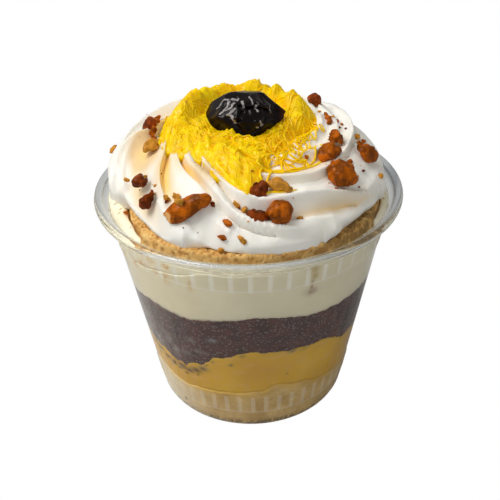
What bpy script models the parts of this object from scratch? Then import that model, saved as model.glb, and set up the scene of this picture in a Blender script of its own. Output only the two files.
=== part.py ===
"""A layered cake dessert in a clear squat cup, topped with piped cream, egg threads, nuts and a fruit.

Metres, +Z up. The origin is on the cup's axis, in the plane that the cup stands on. Angles go round
the axis in degrees, counter-clockwise from +X, and the front of the dessert is at -90.
"""

import math
import random

import bmesh
import bpy
from mathutils import Matrix, Vector, noise

# Cup
CUP_HEIGHT = 0.0715
RIM_RADIUS = 0.0460
WALL = 0.0006
WALL_RADIUS_AT_FLOOR = 0.0288
WALL_FLARE = 0.1942
BEAD_RADIUS = 0.00125
BEAD_START = 140.0
BEAD_SWEEP = 220.0
BEAD_STEPS = 4
SHOULDER_HEIGHT = 0.0661
FOOT_HEIGHT = 0.0034
REST_RADIUS = 0.0256
PUNT_RADIUS = 0.0165
PUNT_HEIGHT = 0.0012
CUP_SEGMENTS = 54
FLOOR_CORNER = [(0.0268, 0.0011), (0.0280, 0.0021)]
FOOT_CORNER = [(0.0286, 0.0017), (0.0273, 0.0005)]
SEAT_HEIGHT = 0.0686
LID_SEAT = [(0.0420, 0.0695), (0.0433, 0.0704)]
SEAT_PROUD = 0.0004
SHOULDER_PROUD = 0.0005

# Ribs moulded on the cup's wall
RIB_COUNT = 48
RIB_WIDTH = 0.0013
RIB_PROUD = 0.00045
RIB_TAPER = 0.7
TOP_RIB_SPAN = (0.0592, 0.0659)
FOOT_RIB_SPAN = (0.0092, 0.0149)

# Fit of neighbouring pieces
GAP = 0.0003
FACET_SLACK = 0.00004

# Layers: height where each surface meets the wall, as (degrees, height)
LAYER_SEGMENTS = 36
LAYER_SHARES = (0.0, 0.5, 0.84, 1.0)
BASE_TOP = [(-150, 0.0178), (-133, 0.0157), (-97, 0.0170), (-86, 0.0176), (-78, 0.0202),
            (-66, 0.0190), (-50, 0.0168), (-28, 0.0146), (40, 0.0170), (120, 0.0165)]
CUSTARD_TOP = [(-175, 0.0310), (-150, 0.0275), (-128, 0.0224), (-117, 0.0250), (-108, 0.0322),
               (-90, 0.0351), (-52, 0.0340), (-36, 0.0295), (-10, 0.0285), (60, 0.0310),
               (130, 0.0295)]
DARK_TOP = [(-165, 0.0440), (-139, 0.0468), (-121, 0.0460), (-87, 0.0493), (-58, 0.0470),
            (-20, 0.0468), (60, 0.0455), (130, 0.0460)]
CREAM_TOP = [(-165, 0.0620), (-140, 0.0605), (-122, 0.0625), (-108, 0.0655), (-60, 0.0658),
             (-30, 0.0655), (20, 0.0640), (80, 0.0620), (140, 0.0630)]

# Top cake and the smooth collar between it and the wall
LEDGE_HEIGHT = 0.0663
TOP_CAKE_HEIGHT = 0.0720
CAKE_BEVEL = 0.0007
CAKE_EDGE = [(-170, 0.0354), (-161, 0.0368), (-148, 0.0386), (-140, 0.0397), (-134, 0.0406),
             (-127, 0.0440), (-40, 0.0440), (-30, 0.0398), (-22, 0.0394), (0, 0.0388),
             (60, 0.0380), (120, 0.0372)]
COLLAR_START = -30.0
COLLAR_END = 220.0
COLLAR_FALL = 0.0016
COLLAR_SINK = [(-30, 0.0024), (30, 0.0024), (80, 0.0), (220, 0.0)]

# Piped cream
CREAM_CENTRE_HEIGHT = 0.0888
CREAM_SHOULDER_HEIGHT = 0.0762
CREAM_RADIUS = 0.0402
CREAM_FALL = 6.2
CREAM_TILT = 0.0034
CREAM_TILT_ANGLE = 105.0
CREAM_DIP = 0.0075
CREAM_DIP_RADIUS = 0.0090
CREAM_EDGE = [(-172, 0.0412), (-159, 0.0379), (-154, 0.0358), (-139, 0.0365), (-127, 0.0386),
              (-114, 0.0390), (-107, 0.0364), (-101, 0.0343), (-94, 0.0354), (-87, 0.0384),
              (-79, 0.0404), (-60, 0.0404), (-49, 0.0396), (-38, 0.0393), (-28, 0.0401),
              (-13, 0.0395), (0, 0.0388), (45, 0.0395), (90, 0.0390), (140, 0.0400), (168, 0.0412)]
CREAM_OVERHANG_RADIUS = 0.0424
CREAM_BULGE = 0.0003
CREST_DEPTH = 0.0026
CREST_WIDTH = 35.0
CREST_TURN = 4.4
CREST_START_RADIUS = 0.006
CREST_GROWTH = 0.012
VALLEY_COLUMNS = 6
CREAM_RINGS = (0.0, 0.18, 0.34, 0.46, 0.56, 0.645, 0.72, 0.79, 0.855, 0.91, 0.955, 0.985)
# Each crest of the star nozzle as (radius in mm, degrees) from the middle out
CREST_RADII = (10.0, 20.0, 25.0, 30.0, 34.0, 38.0, 41.0)
CRESTS = [
    (-193, -149, -129, -112, -96, -75, -30),
    (-158, -113, -96, -77, -52, -22, -4),
    (-140, -93, -73, -14, 22, 44, 58),
    (-95, -41, -17, 30, 58, 80, 95),
    (-50, 5, 45, 82, 99, 117, 130),
    (-5, 50, 90, 117, 134, 152, 165),
    (40, 95, 125, 152, 169, 187, 200),
    (85, 140, 170, 192, 205, 219, 233),
    (112, 160, 187, 205, 218, 235, 249),
    (145, 191, 214, 232, 248, 268, 290),
]

# Egg threads
NEST_OUTLINE = [(178, 0.0252), (-156, 0.0258), (-135, 0.0232), (-120, 0.0243), (-109, 0.0269),
                (-99, 0.0311), (-93, 0.0310), (-88, 0.0256), (-78, 0.0234), (-57, 0.0241),
                (-42, 0.0242), (-21, 0.0200), (4, 0.0205), (43, 0.0242), (70, 0.0275),
                (105, 0.0244), (138, 0.0242)]
NEST_THICKNESS = 0.0036
NEST_EDGE = 0.0008
NEST_LUMP = 0.0010
NEST_LUMP_PITCH = 260.0
NEST_SEGMENTS = 28
NEST_RINGS = (0.0, 0.24, 0.42, 0.58, 0.72, 0.88, 1.0)
THREAD_RADIUS = 0.00055
THREAD_COUNT = 12
THREAD_POINTS = 8
THREAD_REACH = 1.30
THREAD_RIPPLE = 0.0004
THREAD_SEED = 11
GOLDEN_SHARE = 0.618034

# Fruit
FRUIT_CENTRE = Vector((-0.0001, 0.0003, 0.0943))
FRUIT_HALF = Vector((0.0114, 0.0094, 0.0060))
FRUIT_WRINKLE = 0.10
FRUIT_CLEARANCE = 1.15
NEST_RISE = 0.012

# Nut pieces as (degrees, radius, length, width, height, yaw in degrees, noise seed)
NUTS = [
    (-117.0, 0.0355, 0.0138, 0.0050, 0.0044, 8, 1),
    (-77.2, 0.0349, 0.0062, 0.0058, 0.0062, 10, 2),
    (-86.5, 0.0354, 0.0056, 0.0034, 0.0034, -8, 23),
    (-84.8, 0.0304, 0.0044, 0.0042, 0.0042, 40, 4),
    (-73.8, 0.0297, 0.0064, 0.0042, 0.0040, -20, 5),
    (-39.6, 0.0322, 0.0076, 0.0072, 0.0060, 15, 6),
    (-31.0, 0.0262, 0.0060, 0.0048, 0.0048, 30, 7),
    (-13.5, 0.0256, 0.0048, 0.0040, 0.0044, 80, 8),
    (-11.5, 0.0338, 0.0066, 0.0050, 0.0046, 20, 9),
    (43.0, 0.0282, 0.0048, 0.0038, 0.0042, 60, 10),
    (170.0, 0.0284, 0.0060, 0.0042, 0.0042, 80, 11),
    (-164.0, 0.0284, 0.0048, 0.0038, 0.0036, 60, 12),
    (-147.0, 0.0348, 0.0046, 0.0034, 0.0034, -50, 13),
    (-137.0, 0.0368, 0.0040, 0.0036, 0.0036, 20, 24),
]
NUT_ROUGHNESS = 0.16
NUT_LIFT = 0.36
NUT_SPAN = 0.0016

# Crumbs fused to the cream as (degrees, radius, size)
CRUMBS = [(-98.2, 0.0369, 0.0024), (-99.9, 0.0387, 0.0022), (-105.7, 0.0337, 0.0014),
          (-92.8, 0.0394, 0.0020), (-22.6, 0.0316, 0.0018), (13.0, 0.0338, 0.0024),
          (-159.0, 0.0368, 0.0016), (167.0, 0.0395, 0.0024), (-123.4, 0.0337, 0.0020),
          (-68.7, 0.0371, 0.0014), (12.0, 0.0280, 0.0016), (70.0, 0.0320, 0.0022),
          (115.0, 0.0300, 0.0020), (150.0, 0.0350, 0.0018)]


def clear_scene():
    for old in list(bpy.data.objects):
        bpy.data.objects.remove(old, do_unlink=True)


def new_collection(name):
    collection = bpy.data.collections.new(name)
    bpy.context.scene.collection.children.link(collection)
    return collection


def material(name, colour, roughness, transmission=0.0):
    made = bpy.data.materials.new(name)
    made.use_nodes = True
    shader = made.node_tree.nodes["Principled BSDF"]
    shader.inputs["Base Color"].default_value = (*colour, 1.0)
    shader.inputs["Roughness"].default_value = roughness
    shader.inputs["Metallic"].default_value = 0.0
    shader.inputs["Transmission Weight"].default_value = transmission
    return made


def finish(bm, name, collection, finish_material, smooth_degrees=40.0):
    """Turns a bmesh into a named object with one material."""
    bmesh.ops.recalc_face_normals(bm, faces=bm.faces)
    mesh = bpy.data.meshes.new(name)
    bm.to_mesh(mesh)
    bm.free()
    mesh.shade_smooth()
    mesh.set_sharp_from_angle(angle=math.radians(smooth_degrees))
    mesh.materials.append(finish_material)
    obj = bpy.data.objects.new(name, mesh)
    collection.objects.link(obj)
    return obj


def around(stations, angle):
    """The value at an angle, eased between (degrees, value) stations round the axis."""
    ring = sorted((station % 360.0, value) for station, value in stations)
    ring.append((ring[0][0] + 360.0, ring[0][1]))
    angle %= 360.0
    if angle < ring[0][0]:
        angle += 360.0
    for (a0, v0), (a1, v1) in zip(ring, ring[1:]):
        if a0 <= angle <= a1:
            ease = 0.5 - 0.5 * math.cos(math.pi * (angle - a0) / (a1 - a0))
            return v0 + (v1 - v0) * ease
    return ring[0][1]


def along(stations, position):
    """Straight-line reading of (position, value) stations."""
    if position <= stations[0][0]:
        return stations[0][1]
    for (p0, v0), (p1, v1) in zip(stations, stations[1:]):
        if position <= p1:
            return v0 + (v1 - v0) * (position - p0) / (p1 - p0)
    return stations[-1][1]


def polar(radius, angle, height):
    turn = math.radians(angle)
    return Vector((radius * math.cos(turn), radius * math.sin(turn), height))


def wall_radius(height):
    return WALL_RADIUS_AT_FLOOR + WALL_FLARE * height


def floor_profile():
    """Inside of the cup from the middle of the floor to the start of the straight wall."""
    return [
        (0.0, PUNT_HEIGHT + WALL),
        (PUNT_RADIUS - WALL, PUNT_HEIGHT + WALL),
        (PUNT_RADIUS + 2 * WALL, WALL),
        (REST_RADIUS - WALL / 4, WALL),
        *FLOOR_CORNER,
        (wall_radius(FOOT_HEIGHT) - WALL, FOOT_HEIGHT),
    ]


def fill_radius(height):
    """Radius of the contents, a gap clear of the cup's inside."""
    corner = [(z, r) for r, z in floor_profile()[3:]]
    if height < FOOT_HEIGHT:
        inside = along(corner, height - GAP)
    else:
        inside = wall_radius(height) - WALL
    return inside - GAP - FACET_SLACK


def spun_blank(rungs, segments):
    """A closed body of revolution through (radius, height) rungs, from the axis to the axis."""
    bm = bmesh.new()
    points = [bm.verts.new((radius, 0.0, height)) for radius, height in rungs]
    edges = [bm.edges.new(pair) for pair in zip(points, points[1:])]
    bmesh.ops.spin(bm, geom=points + edges, cent=(0, 0, 0), axis=(0, 0, 1),
                   angle=math.tau, steps=segments, use_duplicate=False, use_merge=True)
    bmesh.ops.remove_doubles(bm, verts=bm.verts, dist=1e-6)
    return bm


def split_quads(bm):
    """Cuts every quad the same way, so that two facing surfaces have matching facets."""
    for face in [face for face in bm.faces if len(face.verts) == 4]:
        ranked = sorted(face.verts, key=lambda vert: (round(vert.co.xy.length, 6), vert.co.z))
        inner, outer = ranked[:2], ranked[2:]
        first = inner[0] if inner[0].co.xy.cross(inner[1].co.xy) > 0 else inner[1]
        last = outer[1] if outer[0].co.xy.cross(outer[1].co.xy) > 0 else outer[0]
        if not any(first in edge.verts and last in edge.verts for edge in face.edges):
            bmesh.utils.face_split(face, first, last)


def shape_blank(rungs, segments, place):
    """Spins rungs of (share, level) and sends every point to place(angle, share, level)."""
    bm = spun_blank(rungs, segments)
    split_quads(bm)
    for vert in bm.verts:
        share = vert.co.xy.length
        angle = math.degrees(math.atan2(vert.co.y, vert.co.x)) if share > 1e-6 else 0.0
        vert.co = place(angle, share, vert.co.z)
    return bm


def layer_surface(stations, angle, share):
    """Height of a layer's surface: the stations at the wall, their mean at the middle."""
    mean = sum(value for _, value in stations) / len(stations)
    return mean + (around(stations, angle) - mean) * share * share


def layer(name, low, high, collection, finish_material):
    """One layer across the whole cup, between two surfaces given as low and high(angle, share)."""
    rungs = [(share, 0.0) for share in LAYER_SHARES]
    rungs += [(share, 1.0) for share in reversed(LAYER_SHARES)]

    def place(angle, share, level):
        height = low(angle, share) + GAP / 2
        if level > 0.5:
            height = high(angle, share) - GAP / 2
        return polar(share * fill_radius(height), angle, height)

    return finish(shape_blank(rungs, LAYER_SEGMENTS, place), name, collection, finish_material)


def base_cake(collection, finish_material):
    """Bottom cake, which follows the cup's raised floor and its rounded corner."""
    *flat, rest = [(radius, height + GAP) for radius, height in floor_profile()[:4]]
    corner = [(fill_radius(height + GAP), height + GAP) for _, height in floor_profile()[4:]]
    rungs = [*flat, (rest[0] - GAP, rest[1]), *corner]
    rungs += [(share, 1.0) for share in reversed(LAYER_SHARES)]

    def place(angle, share, level):
        if level < 1.0:
            return polar(share, angle, level)
        height = layer_surface(BASE_TOP, angle, share) - GAP / 2
        return polar(share * fill_radius(height), angle, height)

    return finish(shape_blank(rungs, LAYER_SEGMENTS, place), "base_cake", collection,
                  finish_material)


def cake_edge(angle):
    """Radius of the top cake above the ledge that the collar lies on."""
    return min(around(CAKE_EDGE, angle), fill_radius(LEDGE_HEIGHT) - GAP)


def top_cake(collection, finish_material):
    """Cake disc: full width below the ledge, drawn in above it where the collar lies."""
    rungs = [(share, 0.0) for share in LAYER_SHARES]
    rungs += [(1.0, 1.0), (0.99, 2.0), (0.99, 3.0), (0.97, 4.0), (0.6, 4.0), (0.0, 4.0)]

    def place(angle, share, level):
        index = round(level)
        if index == 0:
            height = layer_surface(CREAM_TOP, angle, share) + GAP / 2
            return polar(share * fill_radius(height), angle, height)
        if index == 1:
            return polar(fill_radius(LEDGE_HEIGHT), angle, LEDGE_HEIGHT)
        if index == 2:
            return polar(cake_edge(angle), angle, LEDGE_HEIGHT + GAP)
        if index == 3:
            return polar(cake_edge(angle), angle, TOP_CAKE_HEIGHT - CAKE_BEVEL)
        return polar(share * cake_edge(angle), angle, TOP_CAKE_HEIGHT)

    return finish(shape_blank(rungs, LAYER_SEGMENTS, place), "top_cake", collection,
                  finish_material)


def cake_collar(collection, finish_material):
    """Smooth C-shaped piece between the top cake and the wall, lofted round the axis."""
    bm = bmesh.new()
    bottom = LEDGE_HEIGHT + 2 * GAP
    rings = []
    step = 360.0 / LAYER_SEGMENTS
    for index in range(round((COLLAR_END - COLLAR_START) / step) + 1):
        angle = COLLAR_START + step * index
        inner = cake_edge(angle) + GAP
        outer = fill_radius(bottom)
        crown = TOP_CAKE_HEIGHT - GAP - around(COLLAR_SINK, angle)
        section = [
            (inner, bottom),
            (outer, bottom),
            (outer + GAP, crown - COLLAR_FALL),
            (0.35 * inner + 0.65 * outer, crown - COLLAR_FALL / 5),
            (0.75 * inner + 0.25 * outer, crown),
            (inner, crown - COLLAR_FALL / 2),
        ]
        rings.append([bm.verts.new(polar(r, angle, z)) for r, z in section])
    for ring, after in zip(rings, rings[1:]):
        for corner in range(len(ring)):
            beside = (corner + 1) % len(ring)
            bm.faces.new((ring[corner], ring[beside], after[beside], after[corner]))
    bm.faces.new(rings[0])
    bm.faces.new(rings[-1])
    bmesh.ops.triangulate(bm, faces=bm.faces)
    return finish(bm, "cake_collar", collection, finish_material)


def crest_angle(crest, radius):
    """Angle of one crest at a radius. Crests are numbered round, and wrap after a full turn."""
    turns, index = divmod(crest, len(CRESTS))
    line = list(zip(CREST_RADII, CRESTS[index]))
    millimetres = radius * 1000.0
    if millimetres < CREST_RADII[0]:
        inside = line[0][1] - CREST_TURN * (CREST_RADII[0] - millimetres)
        return inside + 360.0 * turns
    return along(line, millimetres) + 360.0 * turns


def cream_mean(radius, angle):
    """Height of the piped cream without its crests."""
    lift = CREAM_TILT * math.cos(math.radians(angle - CREAM_TILT_ANGLE))
    dome = 1.0 - (radius / CREAM_RADIUS) ** CREAM_FALL
    height = CREAM_SHOULDER_HEIGHT + (CREAM_CENTRE_HEIGHT - CREAM_SHOULDER_HEIGHT) * dome
    dip = CREAM_DIP * math.exp(-((radius / CREAM_DIP_RADIUS) ** 2))
    return height + lift * (radius / CREAM_RADIUS) ** 2 - dip


def cream_normal(radius, angle):
    """Upward normal of the piped cream at a point, its crests left aside."""
    step = 0.001
    slope = (cream_mean(radius + step, angle) - cream_mean(radius - step, angle)) / (2 * step)
    return (polar(-slope, angle, 0.0) + Vector((0.0, 0.0, 1.0))).normalized()


def crest_fade(radius):
    """Share of their full depth that the crests have at a radius."""
    return min(1.0, max(0.0, (radius - CREST_START_RADIUS) / CREST_GROWTH))


def crest_relief(crest, fraction, radius):
    """Relief between a crest and the next: sharp at the crests, hollow between them."""
    width = crest_angle(crest + 1, radius) - crest_angle(crest, radius)
    depth = CREST_DEPTH * min(1.0, (width / CREST_WIDTH) ** 0.8)
    return depth * crest_fade(radius) * (0.5 - math.sin(math.pi * fraction))


def cream_shoulder(angle):
    """Radius where the cream's top turns down into its side, further out than its foot."""
    return (around(CREAM_EDGE, angle) + CREAM_OVERHANG_RADIUS) / 2


def cream_height(x, y):
    """Height of the piped cream over a point."""
    angle = math.degrees(math.atan2(y, x))
    share = min(CREAM_RINGS[-1], math.hypot(x, y) / cream_shoulder(angle))
    radius = share * CREAM_RADIUS
    for crest in range(-len(CRESTS), 2 * len(CRESTS)):
        low = crest_angle(crest, radius)
        high = crest_angle(crest + 1, radius)
        if low <= angle < high:
            fraction = (angle - low) / (high - low)
            return cream_mean(radius, angle) + crest_relief(crest, fraction, radius)
    return cream_mean(radius, angle)


def cream_ceiling(x, y):
    """Height over a point that clears every crest there."""
    radius = math.hypot(x, y)
    angle = math.degrees(math.atan2(y, x))
    return cream_mean(radius, angle) + CREST_DEPTH / 2 * crest_fade(radius)


def cream_above(x, y, reach):
    """Highest cream within reach of a point, so that a piece can rest clear of a crest."""
    heights = [cream_height(x, y)]
    for step in range(8):
        turn = math.tau * step / 8
        for share in (0.5, 1.0):
            beside = reach * share
            heights.append(cream_height(x + beside * math.cos(turn), y + beside * math.sin(turn)))
    return max(heights)


def cream_body():
    """Piped swirl whose mesh columns run along its crests."""
    columns = len(CRESTS) * VALLEY_COLUMNS
    bottom = TOP_CAKE_HEIGHT + GAP
    rungs = [(0.0, 0.0), (0.6, 0.0), (1.0, 0.0), (1.0, 1.0), (1.0, 2.0)]
    rungs += [(share, 3.0) for share in reversed(CREAM_RINGS)]

    def place(angle, share, level):
        index = round(level)
        column = (angle % 360.0) / 360.0 * columns
        crest, fraction = divmod(round(column), VALLEY_COLUMNS)
        fraction /= VALLEY_COLUMNS
        nominal = share * CREAM_RADIUS if index == 3 else CREAM_RADIUS
        before = crest_angle(crest, nominal)
        turned = before + (crest_angle(crest + 1, nominal) - before) * fraction
        foot = around(CREAM_EDGE, turned)
        shoulder = cream_shoulder(turned)
        if index == 0:
            return polar(share * foot, turned, bottom)
        relief = crest_relief(crest, fraction, nominal)
        brow = cream_mean(CREAM_RADIUS * CREAM_RINGS[-1], turned) + relief
        if index < 3:
            rise = index / 3.0
            radius = foot + (shoulder - foot) * math.sin(rise * math.pi / 2) + CREAM_BULGE
            return polar(radius, turned, bottom + (brow - bottom) * rise)
        return polar(share * shoulder, turned, cream_mean(nominal, turned) + relief)

    return shape_blank(rungs, columns, place)


def rounded_lump(size, seed, roughness, subdivisions):
    """An uneven faceted lump that just fills a box of its size."""
    bm = bmesh.new()
    bmesh.ops.create_icosphere(bm, subdivisions=subdivisions, radius=0.5)
    offset = Vector((seed * 3.7, seed * 1.3, seed * 5.1))
    for vert in bm.verts:
        push = noise.noise(vert.co * 3.0 + offset)
        vert.co *= 1.0 - roughness * (1.0 + push)
    for axis in range(3):
        low = min(vert.co[axis] for vert in bm.verts)
        high = max(vert.co[axis] for vert in bm.verts)
        for vert in bm.verts:
            vert.co[axis] = size[axis] * ((vert.co[axis] - low) / (high - low) - 0.5)
    return bm


def outer_body(mesh):
    """Keeps the largest connected body of a mesh: fills sealed hollows and drops loose scrap."""
    bm = bmesh.new()
    bm.from_mesh(mesh)
    waiting = set(bm.faces)
    bodies = []
    while waiting:
        reached = [waiting.pop()]
        body = set(reached)
        while reached:
            face = reached.pop()
            for edge in face.edges:
                if len(edge.link_faces) != 2:
                    continue
                for beside in edge.link_faces:
                    if beside in waiting:
                        waiting.discard(beside)
                        body.add(beside)
                        reached.append(beside)
        bodies.append(body)
    largest = max(bodies, key=len)
    spare = [face for face in bm.faces if face not in largest]
    bmesh.ops.delete(bm, geom=spare, context="FACES")
    bm.to_mesh(mesh)
    bm.free()


def union_of(base, additions, name):
    """Fuses a collection of loose pieces to a body with one Boolean, then removes them."""
    union = base.modifiers.new("fuse", "BOOLEAN")
    union.operation = "UNION"
    union.operand_type = "COLLECTION"
    union.collection = additions
    union.solver = "EXACT"
    bpy.context.view_layer.update()
    graph = bpy.context.evaluated_depsgraph_get()
    fused = bpy.data.meshes.new_from_object(base.evaluated_get(graph))
    base.modifiers.clear()
    base.data = fused
    for piece in list(additions.objects):
        bpy.data.objects.remove(piece, do_unlink=True)
    bpy.data.collections.remove(additions)
    outer_body(fused)
    fused.name = name


def whipped_cream(collection, finish_material):
    """The piped swirl with its small nut crumbs fused on."""
    cream = finish(cream_body(), "whipped_cream", collection, finish_material)
    crumbs = new_collection("crumbs")
    for number, (angle, radius, size) in enumerate(CRUMBS):
        bm = rounded_lump((size, size * 0.8, size * 0.9), number, 0.08, 1)
        spot = polar(radius, angle, 0.0)
        spot.z = cream_height(spot.x, spot.y) + size * 0.18
        bmesh.ops.translate(bm, verts=bm.verts, vec=spot)
        finish(bm, f"crumb_{number:02d}", crumbs, finish_material)
    union_of(cream, crumbs, "whipped_cream")
    return cream


def fruit_reach(x, y):
    """Distance from the fruit's middle, as a share of its half width in that direction."""
    across = (x - FRUIT_CENTRE.x) / FRUIT_HALF.x
    away = (y - FRUIT_CENTRE.y) / FRUIT_HALF.y
    return math.hypot(across, away)


def nest_limit(x, y):
    """Highest that the nest may reach at a point: below the fruit, and rising gently beside it."""
    reach = fruit_reach(x, y) / FRUIT_CLEARANCE
    if reach < 1.0:
        return FRUIT_CENTRE.z - FRUIT_HALF.z * FRUIT_CLEARANCE * math.sqrt(1.0 - reach * reach)
    return FRUIT_CENTRE.z + NEST_RISE * (reach - 1.0)


def nest_top(x, y, share):
    """Upper side of the nest's core, hollowed where the fruit lies in it."""
    crown = math.sqrt(max(0.0, 1.0 - share ** 2.4))
    lumps = NEST_LUMP * noise.noise(Vector((x, y, 0.0)) * NEST_LUMP_PITCH)
    height = cream_ceiling(x, y) + 2 * GAP + NEST_EDGE + NEST_THICKNESS * crown + lumps
    return min(height, nest_limit(x, y))


def nest_core():
    """Body of the nest of egg threads, laid over the cream."""
    rungs = [(share, 0.0) for share in NEST_RINGS]
    rungs += [(share, 1.0) for share in reversed(NEST_RINGS)]

    def place(angle, share, level):
        spot = polar(share * around(NEST_OUTLINE, angle), angle, 0.0)
        if level < 0.5:
            spot.z = cream_ceiling(spot.x, spot.y) + 2 * GAP
        else:
            spot.z = nest_top(spot.x, spot.y, share)
        return spot

    return shape_blank(rungs, NEST_SEGMENTS, place)


def tube(points, radius, name, collection, finish_material):
    """A closed tube through points, made as a curve and turned into a mesh."""
    curve = bpy.data.curves.new(name, "CURVE")
    curve.dimensions = "3D"
    curve.bevel_depth = radius
    curve.bevel_resolution = 1
    curve.use_fill_caps = True
    spline = curve.splines.new("POLY")
    spline.points.add(len(points) - 1)
    for point, place in zip(spline.points, points):
        point.co = (*place, 1.0)
    guide = bpy.data.objects.new(name, curve)
    collection.objects.link(guide)
    bpy.context.view_layer.update()
    graph = bpy.context.evaluated_depsgraph_get()
    mesh = bpy.data.meshes.new_from_object(guide.evaluated_get(graph))
    bpy.data.objects.remove(guide, do_unlink=True)
    bm = bmesh.new()
    bm.from_mesh(mesh)
    bpy.data.meshes.remove(mesh)
    bmesh.ops.remove_doubles(bm, verts=bm.verts, dist=1e-6)
    return finish(bm, name, collection, finish_material)


def thread_route(number, draw):
    """A loosely curling route over the nest that stays clear of the fruit."""
    angle = 360.0 * (number * GOLDEN_SHARE % 1.0)
    share = draw.uniform(0.50, 0.92)
    drift = draw.choice((-1.0, 1.0)) * draw.uniform(0.03, 0.10)
    step = draw.choice((-1.0, 1.0)) * draw.uniform(4.0, 9.0)
    phase = draw.uniform(0.0, math.tau)
    route = []
    for point in range(THREAD_POINTS):
        share = min(0.94, max(0.45, share + drift * math.sin(phase + 0.6 * point)))
        spot = polar(share * around(NEST_OUTLINE, angle), angle, 0.0)
        away = fruit_reach(spot.x, spot.y)
        if away < THREAD_REACH:
            spot *= THREAD_REACH / away
            share *= THREAD_REACH / away
        ripple = THREAD_RIPPLE * (0.5 + math.sin(phase + 1.7 * point))
        spot.z = nest_top(spot.x, spot.y, share) + ripple
        route.append(spot)
        angle += step
    return route


def egg_threads(collection, finish_material):
    """Nest of egg threads: a core with the threads that show fused on."""
    core = finish(nest_core(), "egg_threads", collection, finish_material)
    threads = new_collection("threads")
    draw = random.Random(THREAD_SEED)
    for number in range(THREAD_COUNT):
        tube(thread_route(number, draw), THREAD_RADIUS, f"thread_{number:02d}", threads, finish_material)
    union_of(core, threads, "egg_threads")
    return core


def glazed_prune(collection, finish_material):
    """Wrinkled fruit lying in the nest."""
    bm = bmesh.new()
    bmesh.ops.create_icosphere(bm, subdivisions=3, radius=1.0)
    for vert in bm.verts:
        fold = noise.noise(Vector((vert.co.x * 1.6, vert.co.y * 2.6, vert.co.z * 2.0 + 4.0)))
        vert.co *= 1.0 - FRUIT_WRINKLE * (0.5 + 0.5 * math.sin(9.0 * fold))
        vert.co = FRUIT_CENTRE + Vector(a * b for a, b in zip(vert.co, FRUIT_HALF))
    return finish(bm, "glazed_prune", collection, finish_material)


def nut(number, nut_values, collection, finish_material):
    """A broken nut piece, its underside pressed to the cream that it lies on."""
    angle, radius, length, width, height, yaw, seed = nut_values
    bm = rounded_lump((length, width, height), seed, NUT_ROUGHNESS, 2)
    above_middle = [max(0.0, vert.co.z) for vert in bm.verts]
    spot = polar(radius, angle, 0.0)
    spot.z = cream_mean(radius, angle)
    upright = cream_normal(radius, angle)
    turn = Matrix.Rotation(math.radians(yaw), 3, "Z")
    lean = Vector((0.0, 0.0, 1.0)).rotation_difference(upright).to_matrix()
    bmesh.ops.rotate(bm, verts=bm.verts, matrix=lean @ turn)
    bmesh.ops.translate(bm, verts=bm.verts, vec=spot + upright * height * NUT_LIFT)
    for vert, proud in zip(bm.verts, above_middle):
        seat = cream_above(vert.co.x, vert.co.y, NUT_SPAN) + GAP
        vert.co.z = max(vert.co.z, seat + proud)
    return finish(bm, f"nut_{number:02d}", collection, finish_material, 25.0)


def cup_profile():
    """The cup's section, from the middle of the floor, up the inside and down the outside."""
    bead = (RIM_RADIUS - BEAD_RADIUS, CUP_HEIGHT - BEAD_RADIUS)
    section = [*floor_profile(), (wall_radius(SEAT_HEIGHT) - WALL, SEAT_HEIGHT), *LID_SEAT]
    for step in range(BEAD_STEPS + 1):
        turn = math.radians(BEAD_START - BEAD_SWEEP * step / BEAD_STEPS)
        section.append((bead[0] + BEAD_RADIUS * math.cos(turn),
                        bead[1] + BEAD_RADIUS * math.sin(turn)))
    section += [
        (wall_radius(SEAT_HEIGHT) + SEAT_PROUD, SEAT_HEIGHT),
        (wall_radius(SHOULDER_HEIGHT) + SHOULDER_PROUD, SHOULDER_HEIGHT + SHOULDER_PROUD),
        (wall_radius(SHOULDER_HEIGHT), SHOULDER_HEIGHT),
        (wall_radius(FOOT_HEIGHT), FOOT_HEIGHT),
        *FOOT_CORNER,
        (REST_RADIUS, 0.0),
        (PUNT_RADIUS + WALL, 0.0),
        (PUNT_RADIUS - WALL, PUNT_HEIGHT),
        (0.0, PUNT_HEIGHT),
    ]
    return section


def rib(span, angle, number, collection, finish_material):
    """One upright rib, a bar laid along the slope of the wall."""
    bm = bmesh.new()
    bmesh.ops.create_cube(bm, size=1.0)
    length = span[1] - span[0]
    depth = RIB_PROUD + WALL / 2
    for vert in bm.verts:
        height = span[0] + (vert.co.z + 0.5) * length
        proud = wall_radius(height) + RIB_PROUD - (0.5 - vert.co.x) * depth
        taper = RIB_TAPER if vert.co.x > 0 else 1.0
        vert.co = Vector((proud, vert.co.y * RIB_WIDTH * taper, height))
    bmesh.ops.rotate(bm, verts=bm.verts, matrix=Matrix.Rotation(math.radians(angle), 3, "Z"))
    return finish(bm, f"rib_{number:03d}", collection, finish_material)


def cup(collection, finish_material):
    """Thin-walled clear cup with a rolled rim and two bands of upright ribs."""
    bm = spun_blank(cup_profile(), CUP_SEGMENTS)
    shell = finish(bm, "cup", collection, finish_material, 30.0)
    ribs = new_collection("ribs")
    for band, span in enumerate((TOP_RIB_SPAN, FOOT_RIB_SPAN)):
        for index in range(RIB_COUNT):
            angle = -90.0 + 360.0 * index / RIB_COUNT
            rib(span, angle, band * RIB_COUNT + index, ribs, finish_material)
    union_of(shell, ribs, "cup")
    return shell


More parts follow.
